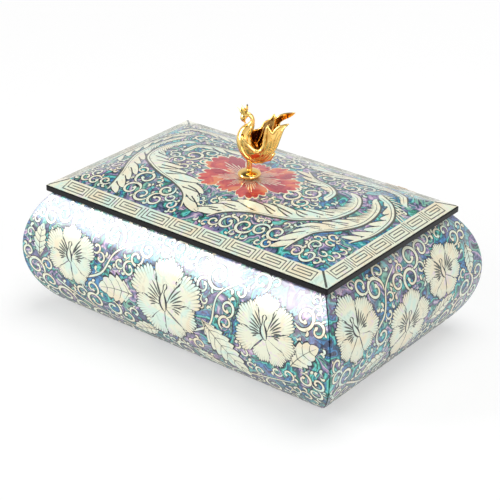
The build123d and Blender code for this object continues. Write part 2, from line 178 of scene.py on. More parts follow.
def path_length(spots: Path) -> float:
    """Returns the length of a line of points."""
    return sum((after - before).length for before, after in zip(spots, spots[1:]))


def saw(mesh: BMesh, spot: Vector, normal: Vector, clear: bool = False) -> None:
    """Cuts a mesh along a plane and, if asked, clears what lies on the side of its normal."""
    cut = {"plane_co": spot, "plane_no": normal, "clear_outer": clear}
    bmesh.ops.bisect_plane(mesh, geom=[*mesh.verts, *mesh.edges, *mesh.faces], dist=WELD, **cut)


def linked(name: str, data: ID) -> Object:
    """Puts a mesh, lamp or camera in the scene.

    Args:
        name, data: The new object's name and its data.

    Returns:
        The object.
    """
    piece = bpy.data.objects.new(name, data)
    bpy.context.scene.collection.objects.link(piece)
    return piece


def meshed(name: str, mesh: BMesh) -> Object:
    """Puts a mesh, which is used up, in the scene.

    Args:
        name, mesh: The new object's name and its mesh.

    Returns:
        The object.
    """
    data = bpy.data.meshes.new(name)
    mesh.to_mesh(data)
    mesh.free()
    return linked(name, data)


# Shader graph


class Tone:
    """A shader socket that Python arithmetic extends with Math nodes."""

    def __init__(self, graph: "Graph", socket: NodeSocket) -> None:
        """Keeps the socket and the graph it belongs to."""
        self.graph = graph
        self.socket = socket

    def other(self, name: str) -> "Tone":
        """Returns another output of the same node."""
        return Tone(self.graph, self.socket.node.outputs[name])

    def math(self, operation: str, *values: "Tone | float") -> "Tone":
        """Adds a Math node over the given values."""
        return self.graph.add("ShaderNodeMath", {"operation": operation}, dict(enumerate(values)))

    def __add__(self, value: "Tone | float") -> "Tone":
        """Adds."""
        return self.math("ADD", self, value)

    def __sub__(self, value: "Tone | float") -> "Tone":
        """Subtracts."""
        return self.math("SUBTRACT", self, value)

    def __rsub__(self, value: float) -> "Tone":
        """Subtracts from a number."""
        return self.math("SUBTRACT", value, self)

    def __mul__(self, value: "Tone | float") -> "Tone":
        """Multiplies."""
        return self.math("MULTIPLY", self, value)

    def __gt__(self, value: "Tone | float") -> "Tone":
        """Is 1 where this socket is the greater."""
        return self.math("GREATER_THAN", self, value)

    def fraction(self) -> "Tone":
        """Keeps what stands behind the decimal point."""
        return self.math("FRACT", self)

    def size(self) -> "Tone":
        """Drops the sign."""
        return self.math("ABSOLUTE", self)

    def either(self, value: "Tone | float") -> "Tone":
        """Takes the greater of two values."""
        return self.math("MAXIMUM", self, value)

    def spread(self, low: float, high: float, start: float = 0.0, end: float = 1.0) -> "Tone":
        """Maps the range from low to high softly onto start to end."""
        values = {0: self, 1: low, 2: high, 3: start, 4: end}
        return self.graph.add("ShaderNodeMapRange", {"interpolation_type": "SMOOTHSTEP"}, values)


class Graph:
    """The node graph of one material or world."""

    def __init__(self, owner: "Material | World") -> None:
        """Empties a node tree.

        Args:
            owner: The material or world that it belongs to.
        """
        self.owner = owner
        owner.use_nodes = True
        self.tree = owner.node_tree
        self.tree.nodes.clear()

    def add(self, kind: str, settings: dict, inputs: dict, output: int | str = 0) -> Tone:
        """Adds one node.

        Args:
            kind: The node's type.
            settings: Its options, set first. "stops" are a colour ramp's places and colours.
            inputs: Values or links, keyed by the socket's name or number.
            output: The socket that is wanted.

        Returns:
            The wanted output.
        """
        node = self.tree.nodes.new(kind)
        for name, value in settings.items():
            if name == "stops":
                elements = node.color_ramp.elements
                while len(elements) < len(value):
                    elements.new(1.0)
                for element, (place, colour) in zip(elements, value):
                    element.position = place
                    element.color = colour
            else:
                setattr(node, name, value)
        for key, value in inputs.items():
            if isinstance(value, Tone):
                self.tree.links.new(value.socket, node.inputs[key])
            else:
                node.inputs[key].default_value = value
        return Tone(self, node.outputs[output])

    def place(self) -> Tone:
        """Returns the object's own coordinates, in metres."""
        return self.add("ShaderNodeTexCoord", {}, {}, "Object")

    def motif(self) -> tuple[Tone, Tone]:
        """Reads a motif's own coordinates.

        Returns:
            The share across it and the share along it, each from 0 to 1.
        """
        drawing = self.add("ShaderNodeUVMap", {"uv_map": "motif"}, {})
        across = self.add("ShaderNodeSeparateXYZ", {}, {0: drawing}, "X")
        return across, across.other("Y")

    def along(self, vector: Tone, axis: Triple) -> Tone:
        """Returns how far a vector runs along an axis."""
        settings = {"operation": "DOT_PRODUCT"}
        return self.add("ShaderNodeVectorMath", settings, {0: vector, 1: axis}, 1)

    def noise(self, where: Tone, scale: float, detail: float = 2.0, twist: float = 0.0) -> Tone:
        """Returns cloudy noise whose patches are about 1 / scale metres wide."""
        values = {"Vector": where, "Scale": scale, "Detail": detail, "Distortion": twist}
        return self.add("ShaderNodeTexNoise", {}, values, "Fac")

    def mix(self, factor: Tone | float, first: Tone | Colour, second: Tone | Colour) -> Tone:
        """Blends two colours."""
        values = {0: factor, 6: first, 7: second}
        return self.add("ShaderNodeMix", {"data_type": "RGBA"}, values, 2)

    def ramp(self, factor: Tone, stops: Sequence[tuple[float, Colour]]) -> Tone:
        """Runs a value through a colour ramp."""
        return self.add("ShaderNodeValToRGB", {"stops": stops}, {0: factor})

    def bump(self, height: Tone, depth: float) -> Tone:
        """Turns a height from 0 to 1 into relief of that depth in metres."""
        values = {"Height": height, "Strength": 1.0, "Distance": depth}
        return self.add("ShaderNodeBump", {}, values)

    def height(self, where: Tone) -> Tone:
        """Returns the height over the table, in metres."""
        return self.along(where, (0.0, 0.0, 1.0))

    def coat(self, where: Tone) -> Tone:
        """Returns the share of clear coat, which thins towards the foot of the walls."""
        return self.height(where).spread(0.0, COAT_WHOLE, COAT_AT_FOOT, 1.0)

    def rays(self) -> tuple[Tone, Tone]:
        """Tells the rays that show a surface from those that light one.

        Returns:
            Where a ray comes from the camera, and where it comes from there or off gloss or glass.
        """
        camera = self.add("ShaderNodeLightPath", {}, {}, "Is Camera Ray")
        gloss = camera.either(camera.other("Is Glossy Ray"))
        return camera, gloss.either(camera.other("Is Transmission Ray"))

    def surface(self, **inputs: "Tone | float | Colour") -> Material:
        """Closes the graph with one surface shader, whose sockets have underscores for blanks."""
        named = {name.replace("_", " "): value for name, value in inputs.items()}
        return self.close(self.add("ShaderNodeBsdfPrincipled", {}, named))

    def close(self, shader: Tone, kind: str = "ShaderNodeOutputMaterial") -> "Material | World":
        """Leads a shader to the output node.

        Args:
            shader: The shader.
            kind: The output node's type.

        Returns:
            The finished material or world.
        """
        output = self.tree.nodes.new(kind)
        self.tree.links.new(shader.socket, output.inputs["Surface"])
        return self.owner


# Finishes


def blank(name: str) -> tuple[Graph, Tone]:
    """Returns a new material's graph and the place on the piece."""
    graph = Graph(bpy.data.materials.new(name))
    return graph, graph.place()


@dataclass(frozen=True)
class Lacquer:
    """Black lacquer, polished under a clear coat, with faint rubbing marks."""

    slot: str = "black_lacquer"
    deep: Colour = shade(6, 6, 8)
    rubbed: Colour = shade(20, 20, 23)
    cloud_scale: float = 70.0
    cloud_share: float = 0.6
    rub_scale: float = 900.0
    rub_depth: float = 0.000004

    def make(self) -> Material:
        """Builds the material.

        Returns:
            The material.
        """
        graph, where = blank(self.slot)
        cloud = graph.noise(where, self.cloud_scale)
        rub = graph.noise(where, self.rub_scale, 3.0, 1.5)
        return graph.surface(
            Base_Color=graph.mix(cloud * self.cloud_share, self.deep, self.rubbed),
            Roughness=rub.spread(0.3, 0.7, 0.22, 0.34),
            Specular_IOR_Level=0.1,
            Coat_Weight=0.3,
            Coat_Roughness=0.06,
            Normal=graph.bump(rub, self.rub_depth),
        )


@dataclass(frozen=True)
class Abalone:
    """Thin sheets of abalone: flakes of green, blue and violet lustre with dark growth lines, and shade
    painted in towards the foot.
    """

    name: str
    slot: str = "abalone_inlay"
    coat_index: float = 1.5
    coat_roughness: float = 0.22
    blush: float = 0.3
    blush_scale: float = 55.0
    metal_share: float = 0.05
    drift_scale: float = 60.0
    drift_share: float = 0.012
    flake_scale: float = 105.0
    wave_scale: float = 115.0
    wave_depth: float = 0.00002
    vein_scale: float = 420.0
    # Painted shade at the foot of the walls: its strength, and the heights in metres below which it is
    # whole and above which it is gone
    foot_painted_shade: float = 0.6
    foot_low: float = 0.001
    foot_high: float = 0.019
    lustre: tuple[tuple[float, Colour], ...] = (
        (0.00, shade(28, 40, 66)),
        (0.08, shade(58, 78, 116)),
        (0.16, shade(70, 148, 206)),
        (0.23, shade(34, 66, 98)),
        (0.31, shade(24, 156, 166)),
        (0.38, shade(114, 218, 210)),
        (0.44, shade(40, 146, 118)),
        (0.52, shade(40, 54, 84)),
        (0.63, shade(106, 118, 156)),
        (0.69, shade(188, 146, 190)),
        (0.73, shade(222, 212, 220)),
        (0.77, shade(104, 126, 152)),
        (0.85, shade(48, 122, 128)),
        (0.92, shade(142, 204, 176)),
        (1.00, shade(28, 40, 66)),
    )
    dark: Colour = shade(18, 26, 46)
    pale: Colour = shade(214, 210, 216)
    rose: Colour = shade(208, 172, 206)

    def make(self) -> Material:
        """Builds the material.

        Returns:
            The material.
        """
        graph, where = blank(self.name)
        clouds = {"Vector": where, "Scale": self.drift_scale}
        drift = graph.add("ShaderNodeTexNoise", {}, clouds, "Color")
        drifted = {0: self.drift_share, 4: where, 5: drift}
        pull = graph.add("ShaderNodeMix", {"data_type": "VECTOR"}, drifted, 1)
        flakes = {"Vector": pull, "Scale": self.flake_scale}
        flake = graph.add("ShaderNodeTexVoronoi", {}, flakes, "Color")
        hue = graph.add("ShaderNodeSeparateColor", {}, {0: flake}, "Red")
        wave = graph.noise(pull, self.wave_scale, 2.0, 0.8)
        vein = graph.noise(where, self.vein_scale, 3.0, 1.6)
        band = (wave * 2.4 + hue * 0.6 + vein * 0.16).fraction()
        lustre = graph.ramp(band, self.lustre)
        shadowed = graph.mix(vein.spread(0.44, 0.30, 0.0, 0.85), lustre, self.dark)
        streaked = graph.mix(vein.spread(0.62, 0.76, 0.0, 0.5), shadowed, self.pale)
        flush = graph.noise(where, self.blush_scale, 1.0).spread(0.48, 0.66, 0.0, self.blush)
        shine = graph.mix(flush, streaked, self.rose)
        # Painted shade: the ground darkens towards the foot, where the gloss would show the box's own
        # contact shadow
        foot_shade = graph.height(where).spread(self.foot_low, self.foot_high, self.foot_painted_shade, 0.0)
        return graph.surface(
            Base_Color=graph.mix(foot_shade, shine, self.dark),
            Roughness=vein.spread(0.3, 0.7, 0.24, 0.42),
            Metallic=hue.spread(0.0, 1.0, 0.3 * self.metal_share, self.metal_share),
            Specular_IOR_Level=0.2,
            Coat_Weight=graph.coat(where),
            Coat_Roughness=self.coat_roughness,
            Coat_IOR=self.coat_index,
            Normal=graph.bump(wave, self.wave_depth),
        )


@dataclass(frozen=True)
class PaleShell:
    """Cream mother-of-pearl, with the fine dark line that is engraved round each motif."""

    name: str
    slot: str = "pale_shell"
    side_line: float = 0.2
    end_line: float = 0.0
    pleats: int = 0
    coat_index: float = 1.5
    coat_roughness: float = 0.22
    cloud_scale: float = 120.0
    gleam_scale: float = 260.0
    gleam_depth: float = 0.00001
    cream: Colour = shade(236, 238, 214)
    warm: Colour = shade(240, 226, 194)
    cool: Colour = shade(208, 236, 224)
    rose: Colour = shade(232, 216, 226)
    pleat: Colour = shade(168, 172, 146)
    line: Colour = shade(26, 32, 42)

    def make(self) -> Material:
        """Builds the material.

        Returns:
            The material.
        """
        graph, where = blank(self.name)
        cloud = graph.noise(where, self.cloud_scale, 2.0, 0.8)
        gleam = graph.noise(where, self.gleam_scale, 2.0, 1.5)
        warmed = graph.mix(cloud.spread(0.5, 0.68, 0.0, 0.8), self.cream, self.warm)
        cooled = graph.mix(cloud.spread(0.48, 0.34, 0.0, 0.8), warmed, self.cool)
        pearl = graph.mix(gleam.spread(0.58, 0.72, 0.0, 0.7), cooled, self.rose)
        across, along = graph.motif()
        drawn = (across - 0.5).size() > 0.5 - self.side_line
        if self.end_line:
            drawn = drawn.either(along > 1 - self.end_line)
        if self.pleats:
            fold = ((across * self.pleats).fraction() - 0.5).size().spread(0.28, 0.5)
            pearl = graph.mix(fold * along.spread(0.62, 0.98), pearl, self.pleat)
        return graph.surface(
            Base_Color=graph.mix(drawn, pearl, self.line),
            Roughness=gleam.spread(0.3, 0.7, 0.26, 0.4),
            Metallic=0.1,
            Specular_IOR_Level=0.2,
            Coat_Weight=graph.coat(where),
            Coat_Roughness=self.coat_roughness,
            Coat_IOR=self.coat_index,
            Normal=graph.bump(gleam, self.gleam_depth),
        )


@dataclass(frozen=True)
class Engraving:
    """Dark filler rubbed into engraved lines."""

    slot: str = "pale_shell"
    dark: Colour = shade(40, 44, 40)
    worn: Colour = shade(80, 86, 74)
    wear_scale: float = 500.0

    def make(self) -> Material:
        """Builds the material.

        Returns:
            The material.
        """
        graph, where = blank("engraved_line")
        wear = graph.noise(where, self.wear_scale)
        return graph.surface(
            Base_Color=graph.mix(wear, self.dark, self.worn),
            Roughness=wear.spread(0.3, 0.7, 0.4, 0.6),
            Coat_Weight=1.0,
            Coat_Roughness=0.05,
        )


@dataclass(frozen=True)
class CoralShell:
    """Stained shell petals, coral at the tips and crimson inside, with a cream rim and white rays."""

    slot: str = "pale_shell"
    deep: Colour = shade(164, 30, 58)
    coral: Colour = shade(206, 74, 72)
    bright: Colour = shade(226, 136, 88)
    rim: Colour = shade(240, 234, 206)
    rays: int = 9
    cloud_scale: float = 130.0

    def make(self) -> Material:
        """Builds the material.

        Returns:
            The material.
        """
        graph, where = blank("coral_shell")
        across, along = graph.motif()
        cloud = graph.noise(where, self.cloud_scale, 2.0, 1.0)
        ripe = cloud + (across - 0.5) * 0.26 + along * 0.14 - 0.03
        stain = graph.mix(ripe.spread(0.4, 0.62), self.deep, self.coral)
        tipped = graph.mix(ripe.spread(0.58, 0.74, 0.0, 0.9), stain, self.bright)
        middle = (across - 0.5).size() * 2
        ray = ((across * self.rays).fraction() - 0.5).size()
        reach = 0.72 - middle * 0.5
        rayed = (0.3 - along * 0.3 > ray) * (reach > along)
        veined = graph.mix(rayed, tipped, self.rim)
        edge = (middle > 0.94).either(along > 0.955)
        return graph.surface(
            Base_Color=graph.mix(edge, veined, self.rim),
            Roughness=cloud.spread(0.3, 0.7, 0.24, 0.38),
            Metallic=0.1,
            Specular_IOR_Level=0.2,
            Coat_Weight=0.9,
            Coat_Roughness=0.04,
        )


@dataclass(frozen=True)
class Metal:
    """A solid metal with fine polishing marks and a tarnish that gathers in patches.

    The face of a wing that looks inward has a streaked dark reflection painted into its colour, which
    fades out towards the tail.
    """

    name: str
    slot: str
    bright: Colour
    tarnish: Colour
    tarnish_share: float
    smoothest: float
    roughest: float
    inward: Triple | None = None
    # The painted dark reflection: its colour, where along the swan it ends and how long it fades
    painted_dark_reflection: Colour = shade(92, 46, 12)
    painted_reflection_end: float = -0.0092
    painted_reflection_fade: float = 0.002
    patch_scale: float = 240.0
    reflection_streak_scale: float = 900.0
    mark_scale: float = 1500.0
    mark_depth: float = 0.000001

    def make(self) -> Material:
        """Builds the material.

        Returns:
            The material.
        """
        graph, where = blank(self.name)
        patch = graph.noise(where, self.patch_scale, 3.0)
        marks = graph.noise(where, self.mark_scale, 2.0)
        dulled = patch.spread(0.45, 0.75, 0.0, self.tarnish_share)
        colour = graph.mix(dulled, self.bright, self.tarnish)
        # Painted dark reflection: the inward face of a wing is darkened in streaks, as if it mirrored
        # dark surroundings, fading out towards the tail
        if self.inward:
            turned = graph.along(where.other("Normal"), self.inward)
            ahead = graph.along(where, AHEAD)
            reflection_streak = graph.noise(where, self.reflection_streak_scale, 1.0).spread(0.3, 0.62, 1.0, 0.72)
            near = ahead.spread(self.painted_reflection_end, self.painted_reflection_end + self.painted_reflection_fade)
            colour = graph.mix(turned.spread(0.35, 0.6) * reflection_streak * near, colour, self.painted_dark_reflection)
        return graph.surface(
            Base_Color=colour,
            Metallic=1.0,
            Roughness=marks.spread(0.3, 0.7, self.smoothest, self.roughest),
            Normal=graph.bump(marks, self.mark_depth),
        )


@dataclass(frozen=True)
class Pile:
    """Short pile cloth: velvet or felt."""

    name: str
    slot: str
    root: Colour
    tip: Colour
    fibre_scale: float
    nap: float
    brush_scale: float = 90.0
    brush_share: float = 0.4

    def make(self) -> Material:
        """Builds the material.

        Returns:
            The material.
        """
        graph, where = blank(self.name)
        brushed = graph.noise(where, self.brush_scale, 2.0, 0.6)
        fibre = graph.noise(where, self.fibre_scale, 2.0)
        height = brushed * self.brush_share + fibre * (1 - self.brush_share)
        return graph.surface(
            Base_Color=graph.mix(height.spread(0.35, 0.65), self.root, self.tip),
            Roughness=0.95,
            Sheen_Weight=0.6,
            Sheen_Roughness=0.4,
            Sheen_Tint=self.tip,
            Normal=graph.bump(height, self.nap),
        )


# The lid's lacquer is flatter and brighter than the walls'
LID_COAT = {"coat_index": 1.45, "coat_roughness": 0.05}
BRIGHT_GILT = Metal(
    "gilt_brass", "gilt_brass", shade(255, 214, 128), shade(206, 142, 58), 0.6, 0.03, 0.07
)


class Finish(Enum):
    """Every finish on the box."""

    LACQUER = Lacquer()
    WALL_ABALONE = Abalone("wall_abalone")
    WALL_VINE = PaleShell("wall_vine")
    PETAL = PaleShell("wall_petal", side_line=0.035, end_line=0.04, pleats=12)
    LEAF = PaleShell("wall_leaf", side_line=0.08)
    LID_ABALONE = Abalone("lid_abalone", blush=0.2, metal_share=0.35, **LID_COAT)
    LID_VINE = PaleShell("lid_vine", **LID_COAT)
    FRET = PaleShell("lid_fret", side_line=0.0, **LID_COAT)
    PLUME = PaleShell("lid_plume", side_line=0.12, **LID_COAT)
    LINE = Engraving()
    CORAL = CoralShell()
    GILT = BRIGHT_GILT
    # Gilt for the wings, with a dark reflection painted on the face that looks inward
    GILT_LEFT = replace(BRIGHT_GILT, name="gilt_left_wing", inward=(AHEAD[1], -AHEAD[0], 0.0))
    GILT_RIGHT = replace(BRIGHT_GILT, name="gilt_right_wing", inward=(-AHEAD[1], AHEAD[0], 0.0))
    BRASS = Metal("hinge_brass", "hinge_brass", shade(212, 170, 96), shade(132, 96, 46), 0.8, 0.22, 0.36)
    STEEL = Metal("zinc_steel", "zinc_steel", shade(196, 198, 202), shade(136, 138, 142), 0.6, 0.26, 0.4)
    VELVET = Pile("velvet", "velvet", shade(70, 6, 20), shade(134, 22, 44), 1400.0, 0.00012)
    FELT = Pile("felt", "felt", shade(14, 14, 15), shade(38, 38, 40), 1100.0, 0.0001)

    @cached_property
    def material(self) -> Material:
        """Returns the finish's material, which is built at its first use."""
        return self.value.make()


# Faces of the box


@dataclass(frozen=True)
class Arc:
    """One round stretch of the walls' profile. Its turn is measured downwards from level."""

    centre_reach: float
    centre_height: float
    radius: float
    start: float
    end: float


@dataclass(frozen=True)
class Swell:
    """The walls' swelling profile. Reaches are measured outwards from the lid's edge."""

    rim_height: float = 48.15
    rim_inset: float = 2.4
    belly_reach: float = 7.4
    belly_height: float = 24.5
    heel_height: float = 4.3
    heel_slope: float = 41.3
    foot_slope: float = 62.4
    foot_height: float = 0.8

    def arcs(self) -> list[Arc]:
        """Works out the profile's arcs, each tangent to the next.

        Returns:
            The three arcs from the rim down to the foot.
        """
        rise = self.rim_height - self.belly_height
        run = self.belly_reach + self.rim_inset
        upper = (rise**2 + run**2) / (2 * run)
        heel_turn = math.radians(self.heel_slope)
        foot_turn = math.radians(self.foot_slope)
        lower = (self.belly_height - self.heel_height) / math.sin(heel_turn)
        heel = (self.heel_height - self.foot_height) / (math.sin(foot_turn) - math.sin(heel_turn))
        reach, level = self.belly_reach, self.belly_height
        inner = lower - heel
        across, down = inner * math.cos(heel_turn), inner * math.sin(heel_turn)
        return [
            Arc(reach - upper, level, upper, -math.asin(rise / upper), 0.0),
            Arc(reach - lower, level, lower, 0.0, heel_turn),
            Arc(reach - lower + across, level - down, heel, heel_turn, foot_turn),
        ]

    def length(self) -> float:
        """Returns the profile's length from the rim to the foot."""
        return sum(arc.radius * (arc.end - arc.start) for arc in self.arcs())

    def point(self, down: float, lift: float) -> tuple[float, float]:
        """Finds a point of the profile.

        Args:
            down: Length along the profile below the rim.
            lift: Distance off the face.

        Returns:
            The point's reach and its height.
        """
        arcs = self.arcs()
        for arc in arcs:
            length = arc.radius * (arc.end - arc.start)
            if down <= length or arc is arcs[-1]:
                break
            down -= length
        turn = arc.start + down / arc.radius
        radius = arc.radius + lift
        return arc.centre_reach + radius * math.cos(turn), arc.centre_height - radius * math.sin(turn)


@dataclass
class WallFace:
    """The outer face of one wall."""

    name: str
    outward: Vector
    half_length: float
    half_depth: float
    margin: float = 0.5
    swell: Swell = field(default_factory=Swell)

    def along(self) -> Vector:
        """Returns the direction to the right, as seen from outside."""
        return UP.cross(self.outward)

    def reach(self, down: float) -> float:
        """Returns how far the face stands out of the lid's edge at a length below the rim."""
        return self.swell.point(down, 0.0)[0]

    def lay(self, flat: Vector) -> Vector:
        """Lays a flat point on the face."""
        reach, height = self.swell.point(-flat.y, flat.z)
        return self.outward * (self.half_depth + reach) + self.along() * flat.x + UP * height

    def hold(self, centre: Vector, radius: float) -> bool:
        """Tests a circle against the face's outline.

        Args:
            centre, radius: The flat circle.

        Returns:
            Whether the circle lies inside.
        """
        margin = self.margin
        if centre.y + radius > -margin or centre.y - radius < margin - self.swell.length():
            return False
        width = min(self.reach(-centre.y + radius), self.reach(-centre.y - radius))
        return abs(centre.x) + radius < self.half_length + width - margin


@dataclass
class LidFace:
    """The lid's hipped vault."""

    half_length: float
    half_width: float
    edge_top: float
    rise: float
    margin: float = 6.9

    def height(self, inset: float) -> float:
        """Works out the vault's arc.

        Args:
            inset: Distance in from the edge.

        Returns:
            The rise there.
        """
        radius = (self.half_width**2 + self.rise**2) / (2 * self.rise)
        across = max(0.0, self.half_width - inset)
        return self.rise - radius + math.sqrt(radius**2 - across**2)

    def lay(self, flat: Vector) -> Vector:
        """Lays a flat point on the vault."""
        inset = min(self.half_width - abs(flat.y), self.half_length - abs(flat.x))
        return Vector((flat.x, flat.y, self.edge_top + self.height(inset) + flat.z))

    def hold(self, centre: Vector, radius: float) -> bool:
        """Says whether a circle lies inside the field."""
        along = abs(centre.x) + radius < self.half_length - self.margin
        return along and abs(centre.y) + radius < self.half_width - self.margin

    def hips(self) -> list[tuple[Vector, Vector]]:
        """Returns the upright planes through the four hips, each as a point and a normal."""
        ridge = self.half_length - self.half_width
        return [(plan(x * ridge, 0), plan(x, y)) for x in (-1, 1) for y in (-1, 1)]


# Inlay


class Inlay:
    """Flat motifs collected in one mesh, each with its own coordinates from 0 to 1."""

    def __init__(self) -> None:
        """Starts an empty sheet."""
        self.mesh = bmesh.new()
        self.mesh.loops.layers.uv.new("motif")

    def cut(self, across: int, along: int, outline: Outline, lift: float) -> None:
        """Cuts one motif out of a grid.

        Args:
            across, along: Cells across the motif and along it.
            outline: Where a point of the grid goes, from its shares across and along.
            lift: Height off the face.
        """
        made = bmesh.ops.create_grid(
            self.mesh, x_segments=across, y_segments=along, size=0.5, calc_uvs=True
        )
        for vert in made["verts"]:
            spot = outline(vert.co.x + 0.5, vert.co.y + 0.5)
            vert.co = (spot.x, spot.y, lift)

    def strip(self, path: Path, sides: Path, width: Width, lift: float) -> None:
        """Cuts a strip.

        Args:
            path: Points of its middle line.
            sides: The way to its right edge, at each point.
            width: Its width at a share of its length.
            lift: Height off the face.
        """
        steps = len(path) - 1

        def outline(across: float, along: float) -> Vector:
            """Places a point of the strip's grid."""
            index = round(along * steps)
            return path[index] + sides[index] * ((across - 0.5) * width(along))

        self.cut(1, steps, outline, lift)

    def stroke(self, path: Path, width: Width, lift: float) -> None:
        """Cuts a stroke, whose width is measured square to its path.

        Args:
            path: Points of its middle line.
            width: Its width at a share of its length.
            lift: Height off the face.
        """
        steps = len(path) - 1
        ways = [path[min(at + 1, steps)] - path[max(at - 1, 0)] for at in range(steps + 1)]
        sides = [-leftward(way).normalized() if way.length else plan(1.0, 0.0) for way in ways]
        self.strip(path, sides, width, lift)

    def band(self, corners: Path, width: float, lift: float) -> None:
        """Cuts a line of even width with mitred corners.

        Args:
            corners: The points where it turns, and its ends.
            width: Its width.
            lift: Height off the face.
        """
        steps = len(corners) - 1
        sides = []
        for index, spot in enumerate(corners):
            before = (spot - corners[max(index - 1, 0)]).normalized()
            after = (corners[min(index + 1, steps)] - spot).normalized()
            before = before if before.length else after
            after = after if after.length else before
            normal = -leftward(before + after).normalized()
            sides.append(normal / normal.dot(-leftward(after)))
        self.strip(corners, sides, lambda along: width, lift)

    def lay(self, face: Face, planes: Sequence[tuple[Vector, Vector]] = ()) -> BMesh:
        """Creases the motifs along planes, turns them face up and lays them on a face.

        Args:
            face: Where a flat point goes.
            planes: Upright planes, each as a point and a normal.

        Returns:
            The mesh.
        """
        for spot, normal in planes:
            saw(self.mesh, spot, normal)
        self.mesh.normal_update()
        turned = [surface for surface in self.mesh.faces if surface.normal.z < 0]
        bmesh.ops.reverse_faces(self.mesh, faces=turned)
        for edge in self.mesh.edges:
            edge.smooth = not edge.is_boundary
        for vert in self.mesh.verts:
            vert.co = face(vert.co)
        return self.mesh


@dataclass(frozen=True)
class Curl:
    """One scroll of a vine, which winds inwards from its entry on a circle."""

    centre: Vector
    radius: float
    entry: float
    sense: int
    turns: float
    wound_in: float = 0.76
    least_width: float = 1.0
    width_share: float = 0.27

    def spot(self, share: float) -> Vector:
        """Returns a point at a share of the winding."""
        turn = self.entry + self.sense * math.tau * self.turns * share
        return self.centre + towards(turn) * (self.radius * (1 - self.wound_in * share**1.25))

    def full(self) -> float:
        """Returns the stroke's greatest width."""
        return self.least_width + self.width_share * self.radius

    def width(self, share: float) -> float:
        """Shapes the stroke: pointed at the root, slimmer inwards, then a round drop.

        Args:
            share: The share of its length.

        Returns:
            Its width there.
        """
        length = self.radius * 0.6 * math.tau * self.turns
        drop = 0.5 * self.full() + 0.25
        left = (1 - share) * length
        rise = min(1.0, share * length / (1.5 * self.full()))
        stem = self.full() * rise**0.6 * (1 - 0.5 * share)
        if left > 2 * drop:
            return stem
        bulb = 2 * math.sqrt(max(0.0, drop**2 - (left - drop) ** 2))
        return bulb if left < drop else max(bulb, stem)

    def draw(self, inlay: Inlay, lift: float) -> None:
        """Cuts the scroll."""
        steps = max(12, round(self.turns * (10 + 3.2 * self.radius)))
        inlay.stroke([self.spot(share) for share in shares(steps)], self.width, lift)


class Vine:
    """Scrolls that branch off one another until the ground between the motifs is filled."""

    branching: float = 0.85
    roots: tuple[float, float] = (0.02, 0.42)
    leaflet_roots: tuple[float, ...] = (0.03, 0.1, 0.18, 0.27, 0.37)
    leaflet_least: float = 1.4
    curl_step: float = 0.003

    def __init__(self, hold: Callable[[Vector, float], bool], taken: list[Ring], seed: int) -> None:
        """Prepares the ground.

        Args:
            hold: Says whether the ground holds a circle.
            taken: The circles that other motifs take.
            seed: The seed of its dice.
        """
        self.hold = hold
        self.taken = list(taken)
        self.curls: list[Curl] = []
        self.dice = random.Random(seed)

    def free(self, centre: Vector, radius: float, gap: float, parent: Vector | None) -> bool:
        """Looks for room.

        Args:
            centre, radius: The circle that wants it.
            gap: Least distance to the other circles.
            parent: The centre of the circle that it branches off, which doesn't count.

        Returns:
            Whether the circle has room.
        """
        return self.hold(centre, radius) and all(
            other is parent or (centre - other).length >= radius + size + gap
            for other, size in self.taken
        )

    def branch(self, radius: float, gap: float, turns: float) -> None:
        """Tries to branch one scroll off a circle that is already there.

        Args:
            radius: The scroll's radius.
            gap: Least distance to other circles.
            turns: How often it winds.
        """
        dice = self.dice
        if self.curls and dice.random() < self.branching:
            parent = dice.choice(self.curls)
            origin = parent.centre
            root = parent.spot(dice.uniform(*self.roots))
            sense = -parent.sense
        else:
            origin, size = dice.choice(self.taken)
            turn = dice.uniform(0, math.tau)
            root = origin + towards(turn) * size
            sense = dice.choice((-1, 1))
        out = (root - origin).normalized()
        centre = root + out * radius
        if self.free(centre, radius, gap, origin):
            entry = math.atan2(-out.y, -out.x)
            self.curls.append(Curl(centre, radius, entry, sense, turns))
            self.taken.append((centre, radius))

    def grow(self, sizes: Sequence[tuple[float, float, float, int]], gap: float = 0.05) -> None:
        """Grows scrolls in passes.

        Args:
            sizes: For each pass the largest and smallest radius, the turns and the tries.
            gap: Least distance between circles.
        """
        for largest, smallest, turns, tries in sizes:
            for _ in range(tries):
                self.branch(self.dice.uniform(smallest, largest), gap, turns)

    def sprout(self) -> list[tuple[list[Vector], float]]:
        """Puts leaflets on the outside of the scrolls wherever a tip finds room.

        Returns:
            For each leaflet its middle line and its width.
        """
        leaflets = []
        for curl in self.curls:
            if curl.radius < self.leaflet_least:
                continue
            length = 0.55 * curl.radius + 0.8
            for share in self.leaflet_roots:
                root = curl.spot(share)
                ahead = (curl.spot(share + 0.02) - root).normalized()
                out = (root - curl.centre).normalized()
                path = [
                    root
                    + ahead * (length * 0.55 * part)
                    + out * (length * (1.15 * part - 0.5 * part**2))
                    for part in shares(6)
                ]
                if self.free(path[-1], 0.3, 0.1, curl.centre):
                    self.taken.append((path[-1], 0.35))
                    leaflets.append((path, 0.75 * curl.full()))
        return leaflets

    def draw(self, inlay: Inlay, lift: float) -> None:
        """Cuts every leaflet and, over them, every scroll.

        Args:
            inlay: The inlay that takes them.
            lift: Height off the face.
        """
        for path, width in self.sprout():
            inlay.stroke(path, lambda part: width * (1 - part) ** 0.5 * (0.6 + 1.2 * part), lift)
        for curl in self.curls:
            curl.draw(inlay, lift + self.curl_step)


